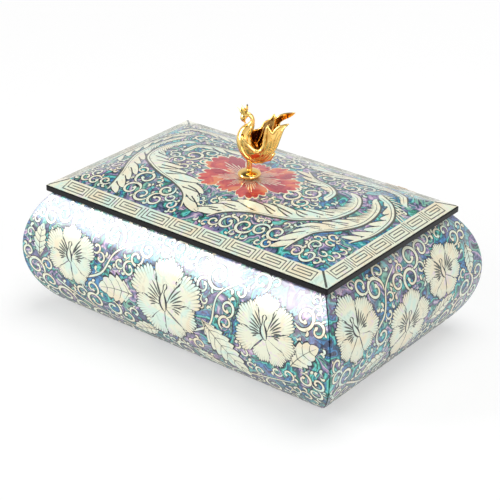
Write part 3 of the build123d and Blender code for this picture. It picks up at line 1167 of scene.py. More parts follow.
@dataclass(frozen=True)
class Blossom:
    """A wide open flower with overlapping pinked petals, dark strokes and a pistil."""

    centre: Vector
    radius: float
    tilt: float
    petals: int = 7
    teeth: int = 12
    spread: float = 31.0
    tooth: float = 0.05
    shortest: float = 0.72
    notch: float = 0.3
    unevenness: float = 0.07
    stretch: float = 0.0
    stretch_heading: float = 0.0
    lobe: float = 0.035
    strokes: int = 8
    stroke_start: float = 24.0
    stroke_turn: float = 9.5
    stroke_width: float = 0.56
    pistil_length: float = 0.6
    ovary_width: float = 0.19
    knob_width: float = 1.7
    stem_width: float = 0.7

    def ring(self) -> list[Ring]:
        """Returns the circle that the flower takes."""
        shift = towards(self.heading(0)) * (self.radius * (1 - self.shortest) / 2)
        return [(self.centre + shift, self.radius * (1 + self.shortest) / 2)]

    def heading(self, index: int) -> float:
        """Returns the direction of a petal; petal 0 points up and the others follow in turn."""
        wobble = self.unevenness * 60 * math.sin(1.7 * index + self.radius) if index else 0.0
        return math.radians(self.tilt + 90 + 360 * index / self.petals + wobble)

    def reach(self, index: int) -> float:
        """Works out a petal's length: those that lean towards the viewer are shorter.

        Args:
            index: The petal.

        Returns:
            Its length.
        """
        lean = 0.5 + 0.5 * math.cos(self.heading(index) - self.heading(0))
        wobble = 1 + self.unevenness * math.sin(2.4 * index + self.tilt)
        turn = self.heading(index) - math.radians(self.stretch_heading)
        longer = 1 + self.stretch * math.cos(2 * turn)
        return self.radius * (self.shortest + (1 - self.shortest) * lean) * wobble * longer

    def petal(self, index: int) -> Outline:
        """Shapes one petal, with pinked teeth along its edge.

        Args:
            index: The petal.

        Returns:
            Its outline.
        """
        reach = self.reach(index)
        heading = self.heading(index)

        def outline(across: float, along: float) -> Vector:
            """Places a point of the petal's grid.

            Args:
                across, along: The point's shares across and along the grid.

            Returns:
                The flat point.
            """
            side = 2 * across - 1
            turn = heading + side * math.radians(self.spread) * (0.75 + 0.25 * along)
            point = abs(math.sin(math.pi * across * self.teeth)) ** 0.7
            edge = smooth(0.75, 1.0, along) * self.tooth * (2 * point - 1)
            lobes = self.lobe * math.cos(3 * math.pi * side) * along
            rounded = 1 - self.notch * abs(side) ** 3 * along + lobes
            return self.centre + towards(turn) * (reach * (0.05 + 0.95 * along) * rounded * (1 + edge))

        return outline

    def draw_petals(self, inlay: Inlay, lift: float, step: float) -> None:
        """Cuts the petals, longest first, each a little higher than the last."""
        for level, index in enumerate(sorted(range(self.petals), key=self.reach, reverse=True)):
            inlay.cut(4 * self.teeth, 8, self.petal(index), lift + step * level)

    def draw_lines(self, inlay: Inlay, lift: float) -> None:
        """Cuts the dark strokes that radiate to both sides of the pistil.

        Args:
            inlay: The inlay that takes them.
            lift: Height off the face.
        """
        for side in (-1, 1):
            for index in range(self.strokes):
                turn = math.radians(self.stroke_start + self.stroke_turn * index)
                ahead = towards(self.heading(0) + side * turn)
                bow = leftward(ahead) * side
                root = 0.18 + 0.06 * (index % 2)
                tip = 0.66 - 0.04 * index
                path = [
                    self.centre
                    + self.radius * (ahead * (root + (tip - root) * part) + bow * 0.05 * part**2)
                    for part in shares(6)
                ]
                inlay.stroke(path, spindle(self.stroke_width, 0.5), lift)

    def draw_pistil(self, inlay: Inlay, lift: float, rim: float) -> None:
        """Cuts the pistil over the upper petal.

        Args:
            inlay: The inlay that takes it.
            lift: Height off the face.
            rim: How much wider it is on each side.
        """
        ahead = towards(self.heading(0))
        side = leftward(ahead)
        length = self.radius * self.pistil_length
        root = self.centre - ahead * self.radius * 0.1
        path = [
            root + ahead * length * share + side * math.sin(share * math.pi) * 0.1 * length
            for share in shares(18)
        ]

        def width(share: float) -> float:
            """Shapes the pistil: full at the ovary, slender, then a knob.

            Args:
                share: The share of its length.

            Returns:
                Its width there.
            """
            ovary = math.sin(math.pi * min(1.0, share / 0.66)) if share < 0.66 else 0.0
            knob = math.sin(math.pi * (share - 0.78) / 0.22) if share > 0.78 else 0.0
            stem = self.stem_width if 0.3 < share < 0.95 else 0.0
            full = max(self.ovary_width * self.radius * ovary**0.7, self.knob_width * knob**0.6, stem)
            return full + 2 * rim

        inlay.stroke(path, width, lift)


@dataclass(frozen=True)
class Stem:
    """A long stem that scrolls branch off."""

    knots: Knots
    width: float = 1.4

    def spots(self, step: float) -> list[Vector]:
        """Returns the points of the stem's middle line, which are about a step apart."""
        knots = [plan(*knot) for knot in self.knots]
        return smooth_path(knots, round(path_length(smooth_path(knots, 40)) / step))

    def ring(self) -> list[Ring]:
        """Returns the circles that the stem takes."""
        return [(spot, 0.5 * self.width) for spot in self.spots(self.width)]

    def draw(self, inlay: Inlay, lift: float) -> None:
        """Cuts the stem."""
        path = self.spots(0.5 * self.width)
        inlay.stroke(path, lambda part: self.width * (1.05 - part) ** 0.3, lift)


@dataclass(frozen=True)
class Frond:
    """A lobed leaf with a bent midrib."""

    root: Vector
    length: float
    width: float
    heading: float
    bend: float
    lobes: int = 6
    rib_width: float = 0.34
    vein_width: float = 0.26
    room: Knots = ((0.2, 0.36), (0.42, 0.47), (0.64, 0.4), (0.84, 0.26))

    def spine(self, share: float) -> tuple[Vector, float]:
        """Returns the point at a share of the bent midrib and the direction there, in radians."""
        heading, bend = math.radians(self.heading), math.radians(self.bend) * share
        return self.root + towards(heading + bend / 2) * (self.length * share), heading + bend

    def ring(self) -> list[Ring]:
        """Returns the circles that the leaf takes."""
        return [(self.spine(share)[0], self.width * size) for share, size in self.room]

    def outline(self, across: float, along: float) -> Vector:
        """Shapes the leaf: saw-toothed lobes on both sides of the midrib.

        Args:
            across, along: The shares across and along the leaf's grid.

        Returns:
            Where that point of the grid goes.
        """
        side = 2 * across - 1
        slant = min(1.0, along + 0.14 * abs(side) * (1 - along))
        spot, turn = self.spine(slant)
        tooth = (along * self.lobes) % 1
        body = math.sin(math.pi * along**0.85) ** 0.75
        cut = 1 - 0.34 * (1 - tooth) ** 1.5 * smooth(0.03, 0.15, along)
        reach = self.width * 0.5 * body * (1 - (1 - cut) * abs(side)) * side
        return spot + leftward(towards(turn)) * reach

    def draw(self, inlay: Inlay, lift: float) -> None:
        """Cuts the leaf."""
        inlay.cut(6, 5 * self.lobes + 6, self.outline, lift)

    def draw_lines(self, inlay: Inlay, lift: float) -> None:
        """Cuts the midrib and the side veins.

        Args:
            inlay: The inlay that takes them.
            lift: Height off the face.
        """
        rib = [self.spine(0.03 + 0.9 * share)[0] for share in shares(14)]
        inlay.stroke(rib, lambda part: self.rib_width * (1 - 0.7 * part), lift)
        for lobe in range(1, self.lobes):
            root = lobe / self.lobes - 0.05
            for side in (-0.39, 0.39):
                vein = [self.outline(0.5 + side * share, root + 0.07 * share) for share in shares(5)]
                inlay.stroke(vein, lambda part: self.vein_width * (1 - 0.8 * part), lift)


# Finishing


def finish_piece(
    name: str,
    mesh: BMesh,
    finish: Finish,
    body: str,
    thickness: float = 0.0,
    stands_for: Sequence[str] = (),
) -> Object:
    """Gives a mesh in millimetres its size, material, body and place in the tree of pieces.

    Args:
        name: The piece's name.
        mesh: Its mesh, which is used up.
        finish: Its finish.
        body: The body that it moves with.
        thickness: Thickness of a thin piece, given behind its face.
        stands_for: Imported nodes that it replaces.

    Returns:
        The piece.
    """
    bmesh.ops.scale(mesh, vec=(MM, MM, MM), verts=mesh.verts)
    for surface in mesh.faces:
        surface.smooth = True
    piece = meshed(name, mesh)
    piece.data.materials.append(finish.material)
    if thickness:
        modifier = piece.modifiers.new("Thickness", "SOLIDIFY")
        modifier.thickness = thickness * MM
        modifier.offset = -1.0
    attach(piece, body)
    if stands_for:
        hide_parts(*stands_for)
    log.info("%s: %d faces, %s", name, len(piece.data.polygons), finish.name.lower())
    return piece


def finish_node(node: str, finish: Finish) -> None:
    """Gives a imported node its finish.

    Args:
        node, finish: The node's name and its finish.
    """
    materials = frame["nodes"][node].data.materials
    materials.clear()
    materials.append(finish.material)
    log.info("%s: %s", node, finish.name.lower())


# Walls

# Passes of scrolls: largest and smallest radius, turns and tries
WALL_PASSES = (
    (5.4, 4.2, 1.3, 3000),
    (4.1, 2.9, 1.15, 5000),
    (2.8, 1.9, 0.9, 7000),
    (1.8, 1.0, 0.5, 9000),
)
LID_PASSES = (
    (4.4, 3.3, 1.25, 3000),
    (3.2, 2.2, 1.1, 5000),
    (2.1, 1.5, 0.85, 7000),
    (1.4, 0.8, 0.5, 9000),
)

# What grows on each wall, and the seed of its scrolls
PATTERNS: dict[str, dict] = {
    "front": dict(
        blossoms=[
            Blossom(plan(-46.5, -22.5), 13.5, 5),
            Blossom(plan(0, -26.5), 18, 0),
            Blossom(plan(45, -22), 15, 10),
        ],
        fronds=[
            Frond(plan(16, -24.5), 28, 14.5, -40, -14, 8),
            Frond(plan(9, -41), 15, 7.5, -22, -12, 5),
            Frond(plan(-14.5, -27), 18, 14, -184, 22, 5),
            Frond(plan(-5, -39.5), 15, 9, -168, 16, 5),
            Frond(plan(-62.5, -27), 14, 8, 96, -16),
            Frond(plan(55.5, -30), 16, 11, 58, -26, 5),
        ],
        stems=[
            Stem(((-43, -29), (-31, -23), (-25, -13), (-14, -6))),
            Stem(((8, -34), (20.5, -26), (23, -14), (33, -5.5))),
            Stem(((-55, -34), (-38, -42), (-22, -44), (-6, -49))),
            Stem(((12, -41), (26, -45), (42, -41), (56, -37))),
        ],
        seed=3,
    ),
    "right": dict(
        blossoms=[
            Blossom(plan(-31, -18.5), 13.5, 14),
            Blossom(plan(-1.5, -30), 14, -12),
            Blossom(plan(22.5, -18.5), 12.5, 5),
        ],
        fronds=[
            Frond(plan(-12, -35), 15, 8, 178, 16),
            Frond(plan(12, -33), 16, 8, 6, 22),
            Frond(plan(38, -12), 13, 7, -80, -10),
        ],
        stems=[
            Stem(((-27, -25), (-16, -19), (-11, -10), (-3, -5))),
            Stem(((-36, -36), (-20, -44), (-2, -45), (14, -44))),
        ],
        seed=5,
    ),
    "back": dict(
        blossoms=[
            Blossom(plan(46.5, -22.5), 13.5, -5),
            Blossom(plan(2, -27), 17.5, 4),
            Blossom(plan(-45, -22), 15, -10),
        ],
        fronds=[
            Frond(plan(-18, -24), 20, 9, -142, 14),
            Frond(plan(17.5, -27), 13.5, 9, -12, -20),
            Frond(plan(62.5, -27), 14, 8, 84, 16),
        ],
        stems=[
            Stem(((43, -29), (31, -23), (25, -13), (14, -6))),
            Stem(((-8, -34), (-20, -25), (-24, -13), (-34, -5.5))),
            Stem(((55, -34), (38, -42), (20, -44), (2, -49))),
            Stem(((-14, -42), (-28, -44), (-42, -41), (-58, -38))),
        ],
        seed=7,
    ),
    "left": dict(
        blossoms=[
            Blossom(plan(31, -18.5), 13.5, -14),
            Blossom(plan(1.5, -30), 14, 12),
            Blossom(plan(-23, -18.5), 12.5, -5),
        ],
        fronds=[
            Frond(plan(12.5, -34), 15, 8, 2, -16),
            Frond(plan(-12, -33), 16, 8, 174, -22),
        ],
        stems=[
            Stem(((27, -25), (16, -18), (11, -10), (3, -5))),
            Stem(((36, -36), (20, -44), (2, -45), (-14, -44))),
        ],
        seed=9,
    ),
}


@dataclass
class WallInlay:
    """The inlay of one wall: ground, leaves, vines and flowers."""

    face: WallFace
    blossoms: list[Blossom]
    fronds: list[Frond]
    stems: list[Stem]
    seed: int
    body: str = "case"
    ground_lift: float = -0.12
    ground_thickness: float = 0.17
    seam_half: float = 0.42
    cell: float = 1.6
    vine_lift: float = -0.07
    frond_lift: float = -0.055
    petal_lift: float = -0.045
    petal_step: float = 0.006
    stem_step: float = 0.006
    line_lift: float = -0.01
    pistil_step: float = 0.004
    pistil_rim: float = 0.24
    motif_thickness: float = 0.09

    def edge(self, down: float) -> float:
        """Returns half the ground's length at a length below the rim."""
        return self.face.half_length + self.face.reach(down) - self.seam_half

    def ground(self) -> None:
        """Builds the sheet of abalone under the motifs."""
        sheet = Inlay()
        length = self.face.swell.length()

        def outline(across: float, along: float) -> Vector:
            """Places a point of the ground's grid."""
            down = length * (1 - along)
            return plan((2 * across - 1) * self.edge(down), -down)

        columns = round(2 * self.face.half_length / self.cell)
        sheet.cut(columns, round(length / self.cell) * 2, outline, self.ground_lift)
        name, mesh = self.face.name, sheet.lay(self.face.lay)
        how = (Finish.WALL_ABALONE, self.body, self.ground_thickness, [f"{name}_pearl_sheet"])
        finish_piece(f"{name}_pearl_ground", mesh, *how)

    def trimmed(self, inlay: Inlay) -> BMesh:
        """Lays motifs on the wall and trims what passes its corners.

        Args:
            inlay: The motifs.

        Returns:
            Their mesh.
        """
        mesh = inlay.lay(self.face.lay)
        for turn in (-1, 1):
            along = self.face.along() * turn
            corner = self.face.outward * self.face.half_depth + along * self.face.half_length
            normal = (along - self.face.outward).normalized()
            saw(mesh, corner - normal * self.seam_half, normal, clear=True)
        return mesh

    def build(self) -> None:
        """Builds every piece of the wall's inlay."""
        self.ground()
        name = self.face.name
        motifs = [*self.blossoms, *self.fronds, *self.stems]
        taken = [ring for motif in motifs for ring in motif.ring()]
        vine = Vine(self.face.hold, taken, self.seed)
        vine.grow(WALL_PASSES)
        vines, fronds, petals, pistils, lines = Inlay(), Inlay(), Inlay(), Inlay(), Inlay()
        vine.draw(vines, self.vine_lift)
        for stem in self.stems:
            stem.draw(vines, self.vine_lift + self.stem_step)
        for frond in self.fronds:
            frond.draw(fronds, self.frond_lift)
            frond.draw_lines(lines, self.line_lift)
        for blossom in self.blossoms:
            blossom.draw_petals(petals, self.petal_lift, self.petal_step)
            blossom.draw_lines(lines, self.line_lift)
            blossom.draw_pistil(lines, self.line_lift, self.pistil_rim)
            blossom.draw_pistil(pistils, self.line_lift + self.pistil_step, 0.0)
        for label, inlay, finish in (
            ("vines", vines, Finish.WALL_VINE),
            ("fronds", fronds, Finish.LEAF),
            ("petals", petals, Finish.PETAL),
            ("pistils", pistils, Finish.WALL_VINE),
            ("lines", lines, Finish.LINE),
        ):
            mesh = self.trimmed(inlay)
            finish_piece(f"{name}_{label}", mesh, finish, self.body, self.motif_thickness)


# Lid


@dataclass(frozen=True)
class Plume:
    """An acanthus leaf: a body along its spine, and lobes that sweep off one side of it.

    A comb of fine strands fills its root, and some leaves have hairs on the other side. Lengths
    along it are measured on the spine, which is its smooth outer edge, and "away" is the distance
    from the spine towards the lobes.
    """

    knots: Knots
    reach: float
    side: int
    hairs: float = 0.0
    comb: float = 0.3
    pitch: float = 5.5
    lobe_width: float = 5.2
    strand_pitch: float = 1.7
    strand_width: float = 1.15
    body: float = 2.8
    edge_width: float = 0.8
    vein_width: float = 0.28
    ring_pitch: float = 2.5
    steps: int = 160

    @cached_property
    def line(self) -> list[Vector]:
        """Returns the points of the spine."""
        return smooth_path([plan(*knot) for knot in self.knots], self.steps)

    @cached_property
    def length(self) -> float:
        """Returns the spine's length."""
        return path_length(self.line)

    def beside(self, run: float, away: float) -> Vector:
        """Finds a point beside the spine, which runs straight on past its tip.

        Args:
            run: Length along the spine.
            away: Distance from it.

        Returns:
            The point.
        """
        place = run / self.length * self.steps
        index = int(min(place, self.steps - 1))
        before, after = self.line[index], self.line[index + 1]
        ahead = (after - before).normalized()
        spot = before.lerp(after, min(place, self.steps) - index)
        past = ahead * max(0.0, run - self.length)
        return spot + past + leftward(ahead) * (away * self.side)

    def swell(self, run: float) -> float:
        """Returns how full the leaf is at a length along it."""
        return math.sin(math.pi * (0.12 + 0.72 * min(1.0, run / self.length))) ** 0.6

    def ring(self) -> list[Ring]:
        """Covers the leaf with circles.

        Returns:
            The circles that it takes.
        """
        count = round(self.length / self.ring_pitch)
        rings = []
        for index in range(count + 1):
            run = self.length * index / count
            half = 0.45 * self.reach * self.swell(run)
            rings.append((self.beside(run, half), half + 0.7))
        return rings

    def sweep(self, run: float, root: float, tip: float, forward: float) -> list[Vector]:
        """Draws the middle line of a lobe.

        Args:
            run: Where it leaves the spine.
            root, tip: How far away it starts and ends.
            forward: How far it runs along the spine.

        Returns:
            The line's points.
        """
        return [
            self.beside(run + forward * share, root + (tip - root) * share**1.25)
            for share in shares(12)
        ]

    def width(self, run: float) -> float:
        """Returns the body's width: a round root, full in the middle and a drawn-out tip."""
        share = run / self.length
        return self.body * min(1.0, share / 0.06) ** 0.5 * (1.02 - share) ** 0.4

    def draw(self, lobes: Inlay, body: Inlay, lines: Inlay, levels: Triple) -> None:
        """Cuts the strands and lobes, the body over them and the engraved lines on it.

        Args:
            lobes, body, lines: The inlays that take the lobes and strands, the body and the lines.
            levels: The lift of the lowest lobes, the step between lobes and the lift of the lines.
        """
        lift, step, line_lift = levels
        first = self.comb * self.length

        def cut(index: int, run: float, width: float, away: tuple[float, float], flow: float) -> None:
            """Cuts one lobe, strand or hair.

            Args:
                index, run, width: Its number, where it leaves the spine and its width.
                away: Where it starts, and where it ends as a share of the leaf's fullness.
                flow: How far it runs along the spine, as a share of the same.
            """
            full = self.reach * self.swell(run) * (1 + 0.1 * math.sin(2.6 * index))
            middle = self.sweep(run, away[0], away[1] * full, flow * full)
            lobes.stroke(
                middle,
                lambda part: width * (1 - part) ** 0.7 * (0.75 + 1.5 * part),
                lift + step * (index % 6),
            )

        for index in range(int(self.hairs * self.length / self.strand_pitch)):
            cut(index, index * self.strand_pitch, self.strand_width * 0.7, (0.0, -0.9), 0.8)
        for index in range(int(first / self.strand_pitch)):
            cut(index, index * self.strand_pitch, self.strand_width, (0.4, 0.95), 1.5)
        count = max(2, round((self.length - first) / self.pitch))
        for index in range(count):
            run = first + (self.length - first) * index / count
            size = self.lobe_width * (0.5 + 0.5 * self.swell(run)) * self.reach / 7
            cut(index, run, size, (0.35 * size, 1.05), 1.5)
        runs = [self.length * index / 60 for index in range(61)]
        spine = [self.beside(run, self.width(run) / 2) for run in runs]
        body.stroke(spine, lambda part: self.width(part * self.length), lift + 6 * step)
        edge = [self.beside(run, 0.1) for run in runs]
        lines.stroke(edge, spindle(self.edge_width, 0.3), line_lift)
        vein = [self.beside(run, 0.62 * self.width(run)) for run in runs[3:-12]]
        lines.stroke(vein, spindle(self.vein_width, 0.3), line_lift)


@dataclass
class LidInlay:
    """The inlay of the lid: fret border, abalone field, plumes, vines and the coral flower."""

    face: LidFace
    body: str = "lid"
    seed: int = 11
    fret_margin: float = 0.4
    fret_width: float = 5.9
    mitre_margin: float = 0.3
    joint: float = 0.06
    ground_lift: float = -0.12
    ground_thickness: float = 0.17
    cell: float = 1.5
    motif_lift: float = -0.06
    motif_step: float = 0.006
    line_lift: float = -0.01
    motif_thickness: float = 0.09
    line_width: float = 0.36
    long_keys: int = 9
    short_keys: int = 6
    key: Knots = (
        *((0.10, 0.93), (0.10, 0.17), (0.90, 0.17), (0.90, 0.80), (0.21, 0.80)),
        *((0.21, 0.40), (0.79, 0.40), (0.79, 0.60), (0.32, 0.60)),
    )
    bar: Knots = ((0.0, 0.93), (0.0, 0.14))

    def ground(self) -> None:
        """Builds the field of abalone."""
        sheet = Inlay()
        inset = self.fret_margin + self.fret_width + self.joint
        half_length = self.face.half_length - inset
        half_width = self.face.half_width - inset

        def outline(across: float, along: float) -> Vector:
            """Places a point of the field's grid."""
            return plan((2 * across - 1) * half_length, (2 * along - 1) * half_width)

        columns, rows = round(2 * half_length / self.cell), round(2 * half_width / self.cell)
        sheet.cut(columns, rows, outline, self.ground_lift)
        mesh = sheet.lay(self.face.lay, self.face.hips())
        how = (Finish.LID_ABALONE, self.body, self.ground_thickness, ["lid_pearl_field"])
        finish_piece("lid_pearl_ground", mesh, *how)

    def sides(self) -> list[tuple[str, float, float, float, int]]:
        """Describes the lid's four sides.

        Returns:
            Each side's name, heading, half length, half depth and number of keys.
        """
        long, short = self.face.half_length, self.face.half_width
        return [
            ("front", 0.0, long, short, self.long_keys),
            ("right", math.pi / 2, short, long, self.short_keys),
            ("back", math.pi, long, short, self.long_keys),
            ("left", -math.pi / 2, short, long, self.short_keys),
        ]

    def border(self) -> None:
        """Builds the four fret strips and the lines engraved in them."""
        for name, heading, half_length, half_depth, count in self.sides():
            spin = Matrix.Rotation(heading, 3, "Z")

            def at(along: float, inset: float) -> Vector:
                """Turns a place along a side and in from its edge into a place on the lid."""
                return spin @ plan(along, inset - half_depth)

            def outline(across: float, inwards: float) -> Vector:
                """Places a point of the strip's grid."""
                inset = self.fret_margin + self.fret_width * inwards
                return at((2 * across - 1) * (half_length - inset - self.joint), inset)

            base, lines = Inlay(), Inlay()
            base.cut(round(2 * half_length / self.cell), 4, outline, self.motif_lift)
            run = 2 * (half_length - self.fret_margin - self.fret_width)
            pitch = run / count
            for unit in range(count):
                start = unit * pitch - run / 2
                for corners in (self.key, self.bar) if unit else (self.key,):
                    path = [
                        at(start + x * pitch, self.fret_margin + y * self.fret_width)
                        for x, y in corners
                    ]
                    lines.band(path, self.line_width, self.line_lift)
            insets = (self.fret_margin + self.mitre_margin, self.fret_margin + self.fret_width)
            for end in (-1, 1):
                mitre = [at(end * (half_length - inset - self.mitre_margin), inset) for inset in insets]
                lines.band(mitre, self.line_width, self.line_lift)
            strip, thickness = base.lay(self.face.lay), self.motif_thickness
            node = [f"{name}_fret_strip"]
            finish_piece(f"{name}_fret_border", strip, Finish.FRET, self.body, 2 * thickness, node)
            keys = lines.lay(self.face.lay)
            finish_piece(f"{name}_fret_lines", keys, Finish.LINE, self.body, thickness)

    def plumes(self) -> list[Plume]:
        """Places the acanthus leaves round the flower, the three that curl down each end first.

        Returns:
            The leaves.
        """
        inner_right = ((36, 14), (41, 13), (44.5, 7), (44.5, -1), (42, -9), (35, -15.5))
        right_tip = ((26, -18.5), (16, -20.5), (8, -24.5), (4, -29))
        middle_right = ((45, 17), (49.5, 13), (51.7, 6), (51.7, -2), (49, -10), (45, -17), (42, -24))
        outer_right = ((44, 21), (51, 18.5), (56, 12), (57.6, 4), (57.4, -5), (55, -14))
        inner_left = ((-37, 14), (-42, 13), (-46.5, 7), (-47.3, 0), (-44.5, -7), (-38, -12.5))
        left_tip = ((-30, -16), (-21, -18.5), (-13, -22.5), (-8.5, -29))
        middle_left = ((-46, 18), (-51, 12), (-53, 4), (-51.7, -5), (-48, -13.5), (-44, -20.5))
        outer_left = ((-45, 22), (-52, 19), (-56.7, 12), (-58, 4), (-57.6, -5), (-56, -14))
        return [
            Plume(inner_right + right_tip, 7.6, -1),
            Plume((*middle_right, (40, -31)), 6.4, -1),
            Plume(outer_right, 4.8, -1, 0.42, 0.1),
            Plume(inner_left + left_tip, 7.6, 1),
            Plume((*middle_left, (-42, -27), (-41, -32.5)), 5.8, 1),
            Plume(outer_left, 4.2, 1, 0.42, 0.1),
            Plume(((55, 22), (50, 28), (40, 31.5), (28, 31.5), (17, 29.5), (8, 32)), 5.6, 1),
            Plume(((-55, 23), (-50, 28.5), (-40, 31.5), (-28, 31.5), (-17, 29.5), (-7, 32)), 5.6, -1),
            Plume(((34, 2), (33, 9), (27, 14), (19, 16), (12, 21)), 4.8, 1),
            Plume(((-36, 4), (-35, 11), (-29, 16), (-20, 18), (-12, 23)), 4.8, -1),
        ]

    def build(self) -> None:
        """Builds every piece of the lid's inlay."""
        self.ground()
        self.border()
        shape = {"teeth": 6, "tooth": 0.06, "shortest": 0.94, "notch": 0.36}
        coral = Blossom(plan(0, 0), 18, 18, stretch=0.24, stretch_heading=6, **shape)
        plumes = self.plumes()
        taken = [ring for motif in [coral, *plumes] for ring in motif.ring()]
        vine = Vine(self.face.hold, taken, self.seed)
        vine.grow(LID_PASSES)
        vines, lobes, bodies, lines, petals = Inlay(), Inlay(), Inlay(), Inlay(), Inlay()
        vine.draw(vines, self.motif_lift)
        for index, plume in enumerate(plumes):
            lift = self.motif_lift + self.motif_step * (1 + index % 3 / 3)
            plume.draw(lobes, bodies, lines, (lift, self.motif_step, self.line_lift))
        coral.draw_petals(petals, self.motif_lift + 2 * self.motif_step, self.motif_step)
        for label, inlay, finish in (
            ("lid_vines", vines, Finish.LID_VINE),
            ("lid_plume_lobes", lobes, Finish.PLUME),
            ("lid_plume_bodies", bodies, Finish.FRET),
            ("lid_plume_lines", lines, Finish.LINE),
            ("coral_flower", petals, Finish.CORAL),
        ):
            mesh = inlay.lay(self.face.lay, self.face.hips())
            finish_piece(label, mesh, finish, self.body, self.motif_thickness)


# Upholstery


@dataclass(frozen=True)
class Cushion:
    """A thin pad: velvet drawn over wadding and turned in round a flat back."""

    low: Vector
    high: Vector
    face: Vector
    crown: float
    edge_share: float = 0.45
    edge_radius: float = 1.1
    crown_reach: float = 16.0
    crown_share: float = 0.9
    draw_in: float = 0.35
    rumple: float = 0.035
    rumple_across: float = 0.55
    rumple_along: float = 0.47
    rumple_bend: float = 0.9
    rumple_bend_along: float = 0.21
    cells: int = 64

    def frame(self) -> tuple[Vector, Vector, Vector, float, float, float]:
        """Finds the pad's back.

        Returns:
            The middle of the back, the two directions along it, half its sizes and the pad's depth.
        """
        size = self.high - self.low
        depth = abs(size.dot(self.face))
        back = (self.low + self.high) / 2 - self.face * depth / 2
        across = BACK if abs(self.face.x) > 0.5 else RIGHT
        along = self.face.cross(across)
        return back, across, along, abs(size.dot(across)) / 2, abs(size.dot(along)) / 2, depth

    def height(self, inset: float, place: Vector, depth: float) -> float:
        """Shapes the velvet: rolled edges, a low crown and soft unevenness.

        Args:
            inset: Distance in from the pad's outline.
            place: The point on the back.
            depth: The pad's greatest thickness.

        Returns:
            How far the velvet stands off the back there.
        """
        turned = min(1.0, inset / self.edge_radius)
        rounded = self.edge_share + (1 - self.edge_share) * math.sqrt(1 - (1 - turned) ** 2)
        swell = smooth(0.0, self.crown_reach, inset)
        bend = self.rumple_bend * math.sin(self.rumple_bend_along * place.y)
        wave = math.sin(self.rumple_across * place.x + bend) * math.sin(self.rumple_along * place.y)
        ripple = self.rumple * wave * smooth(0.5, 4.0, inset) * (1 - 0.6 * swell)
        return (depth - self.crown) * rounded + self.crown * swell * self.crown_share + ripple

    def build(self) -> BMesh:
        """Builds the pad from a grid, pulled off its own flat copy.

        Returns:
            The pad's mesh.
        """
        back, across, along, half_width, half_length, depth = self.frame()
        mesh = bmesh.new()
        made = bmesh.ops.create_grid(mesh, x_segments=self.cells, y_segments=self.cells, size=1.0)
        for vert in made["verts"]:
            vert.co = Vector([part * (1.5 - 0.5 * part * part) for part in vert.co])
        copy = bmesh.ops.extrude_face_region(mesh, geom=mesh.faces[:])
        lifted = {part for part in copy["geom"] if isinstance(part, BMVert)}
        for vert in mesh.verts:
            x, y = vert.co.x, vert.co.y
            pull = self.draw_in * (1 - max(abs(x), abs(y)) ** 8 * min(abs(x), abs(y)) ** 2)
            place = plan(x * (half_width - pull * abs(x) ** 8), y * (half_length - pull * abs(y) ** 8))
            inset = min((1 - abs(x)) * half_width, (1 - abs(y)) * half_length)
            rise = self.height(inset, place, depth) if vert in lifted else 0.0
            vert.co = back + across * place.x + along * place.y + self.face * rise
        bmesh.ops.recalc_face_normals(mesh, faces=mesh.faces[:])
        return mesh


@dataclass
class Upholstery:
    """The velvet pads and linings, and the felt under the base."""

    pad_crown: float = 0.7
    pad_fill: float = 0.5
    lining_crown: float = 0.25
    lining_fill: float = 0.3
    felt_cells: int = 48
    felt_wander: float = 0.12

    def felt(self) -> None:
        """Lays the felt, whose hand-cut edge wanders a little."""
        low, high = node_box("base_felt")
        middle, half = (low + high) / 2, (high - low) / 2
        mesh = bmesh.new()
        bmesh.ops.create_grid(mesh, x_segments=self.felt_cells, y_segments=self.felt_cells, size=1.0)
        for vert in mesh.verts:
            x, y = vert.co.x, vert.co.y
            cut = self.felt_wander * (0.5 + 0.5 * math.sin(9 * x + 5 * y) * math.sin(7 * y - 4 * x))
            vert.co = (middle.x + x * (half.x - cut), middle.y + y * (half.y - cut), high.z)
        piece = finish_piece("felt_sheet", mesh, Finish.FELT, "case", high.z - low.z, ["base_felt"])

    def build(self) -> None:
        """Builds the pads, the linings and the felt."""
        pad, lining = (self.pad_crown, self.pad_fill), (self.lining_crown, self.lining_fill)
        for node, face, (crown, fill), body in (
            ("floor_pad", UP, pad, "case"),
            ("lid_pad", -UP, pad, "lid"),
            ("front_lining", BACK, lining, "case"),
            ("back_lining", -BACK, lining, "case"),
            ("left_lining", RIGHT, lining, "case"),
            ("right_lining", -RIGHT, lining, "case"),
        ):
            mesh = Cushion(*node_box(node), face, crown).build()
            piece = finish_piece(f"velvet_{node}", mesh, Finish.VELVET, body, 0.0, [node])
        self.felt()


# Swan


def tube(mesh: BMesh, path: Path, side: Vector, radius: float, sides: int = 8) -> None:
    """Draws a wire that is pointed at both ends.

    Args:
        mesh: The mesh that takes it.
        path: Points of its middle line.
        side: A direction that the line never follows, which keeps its section from twisting.
        radius: Its greatest radius.
        sides: The number of its sides.
    """
    steps = len(path) - 1
    made = bmesh.ops.create_grid(mesh, x_segments=sides, y_segments=steps, size=0.5)
    for vert in made["verts"]:
        share = vert.co.y + 0.5
        index = round(share * steps)
        turn = vert.co.x * math.tau
        ahead = path[min(index + 1, steps)] - path[max(index - 1, 0)]
        across = ahead.cross(side).normalized()
        out = across.cross(ahead).normalized()
        thick = radius * math.sin(math.pi * share) ** 0.35
        vert.co = path[index] + (across * math.cos(turn) + out * math.sin(turn)) * thick
    bmesh.ops.remove_doubles(mesh, verts=made["verts"], dist=0.001)


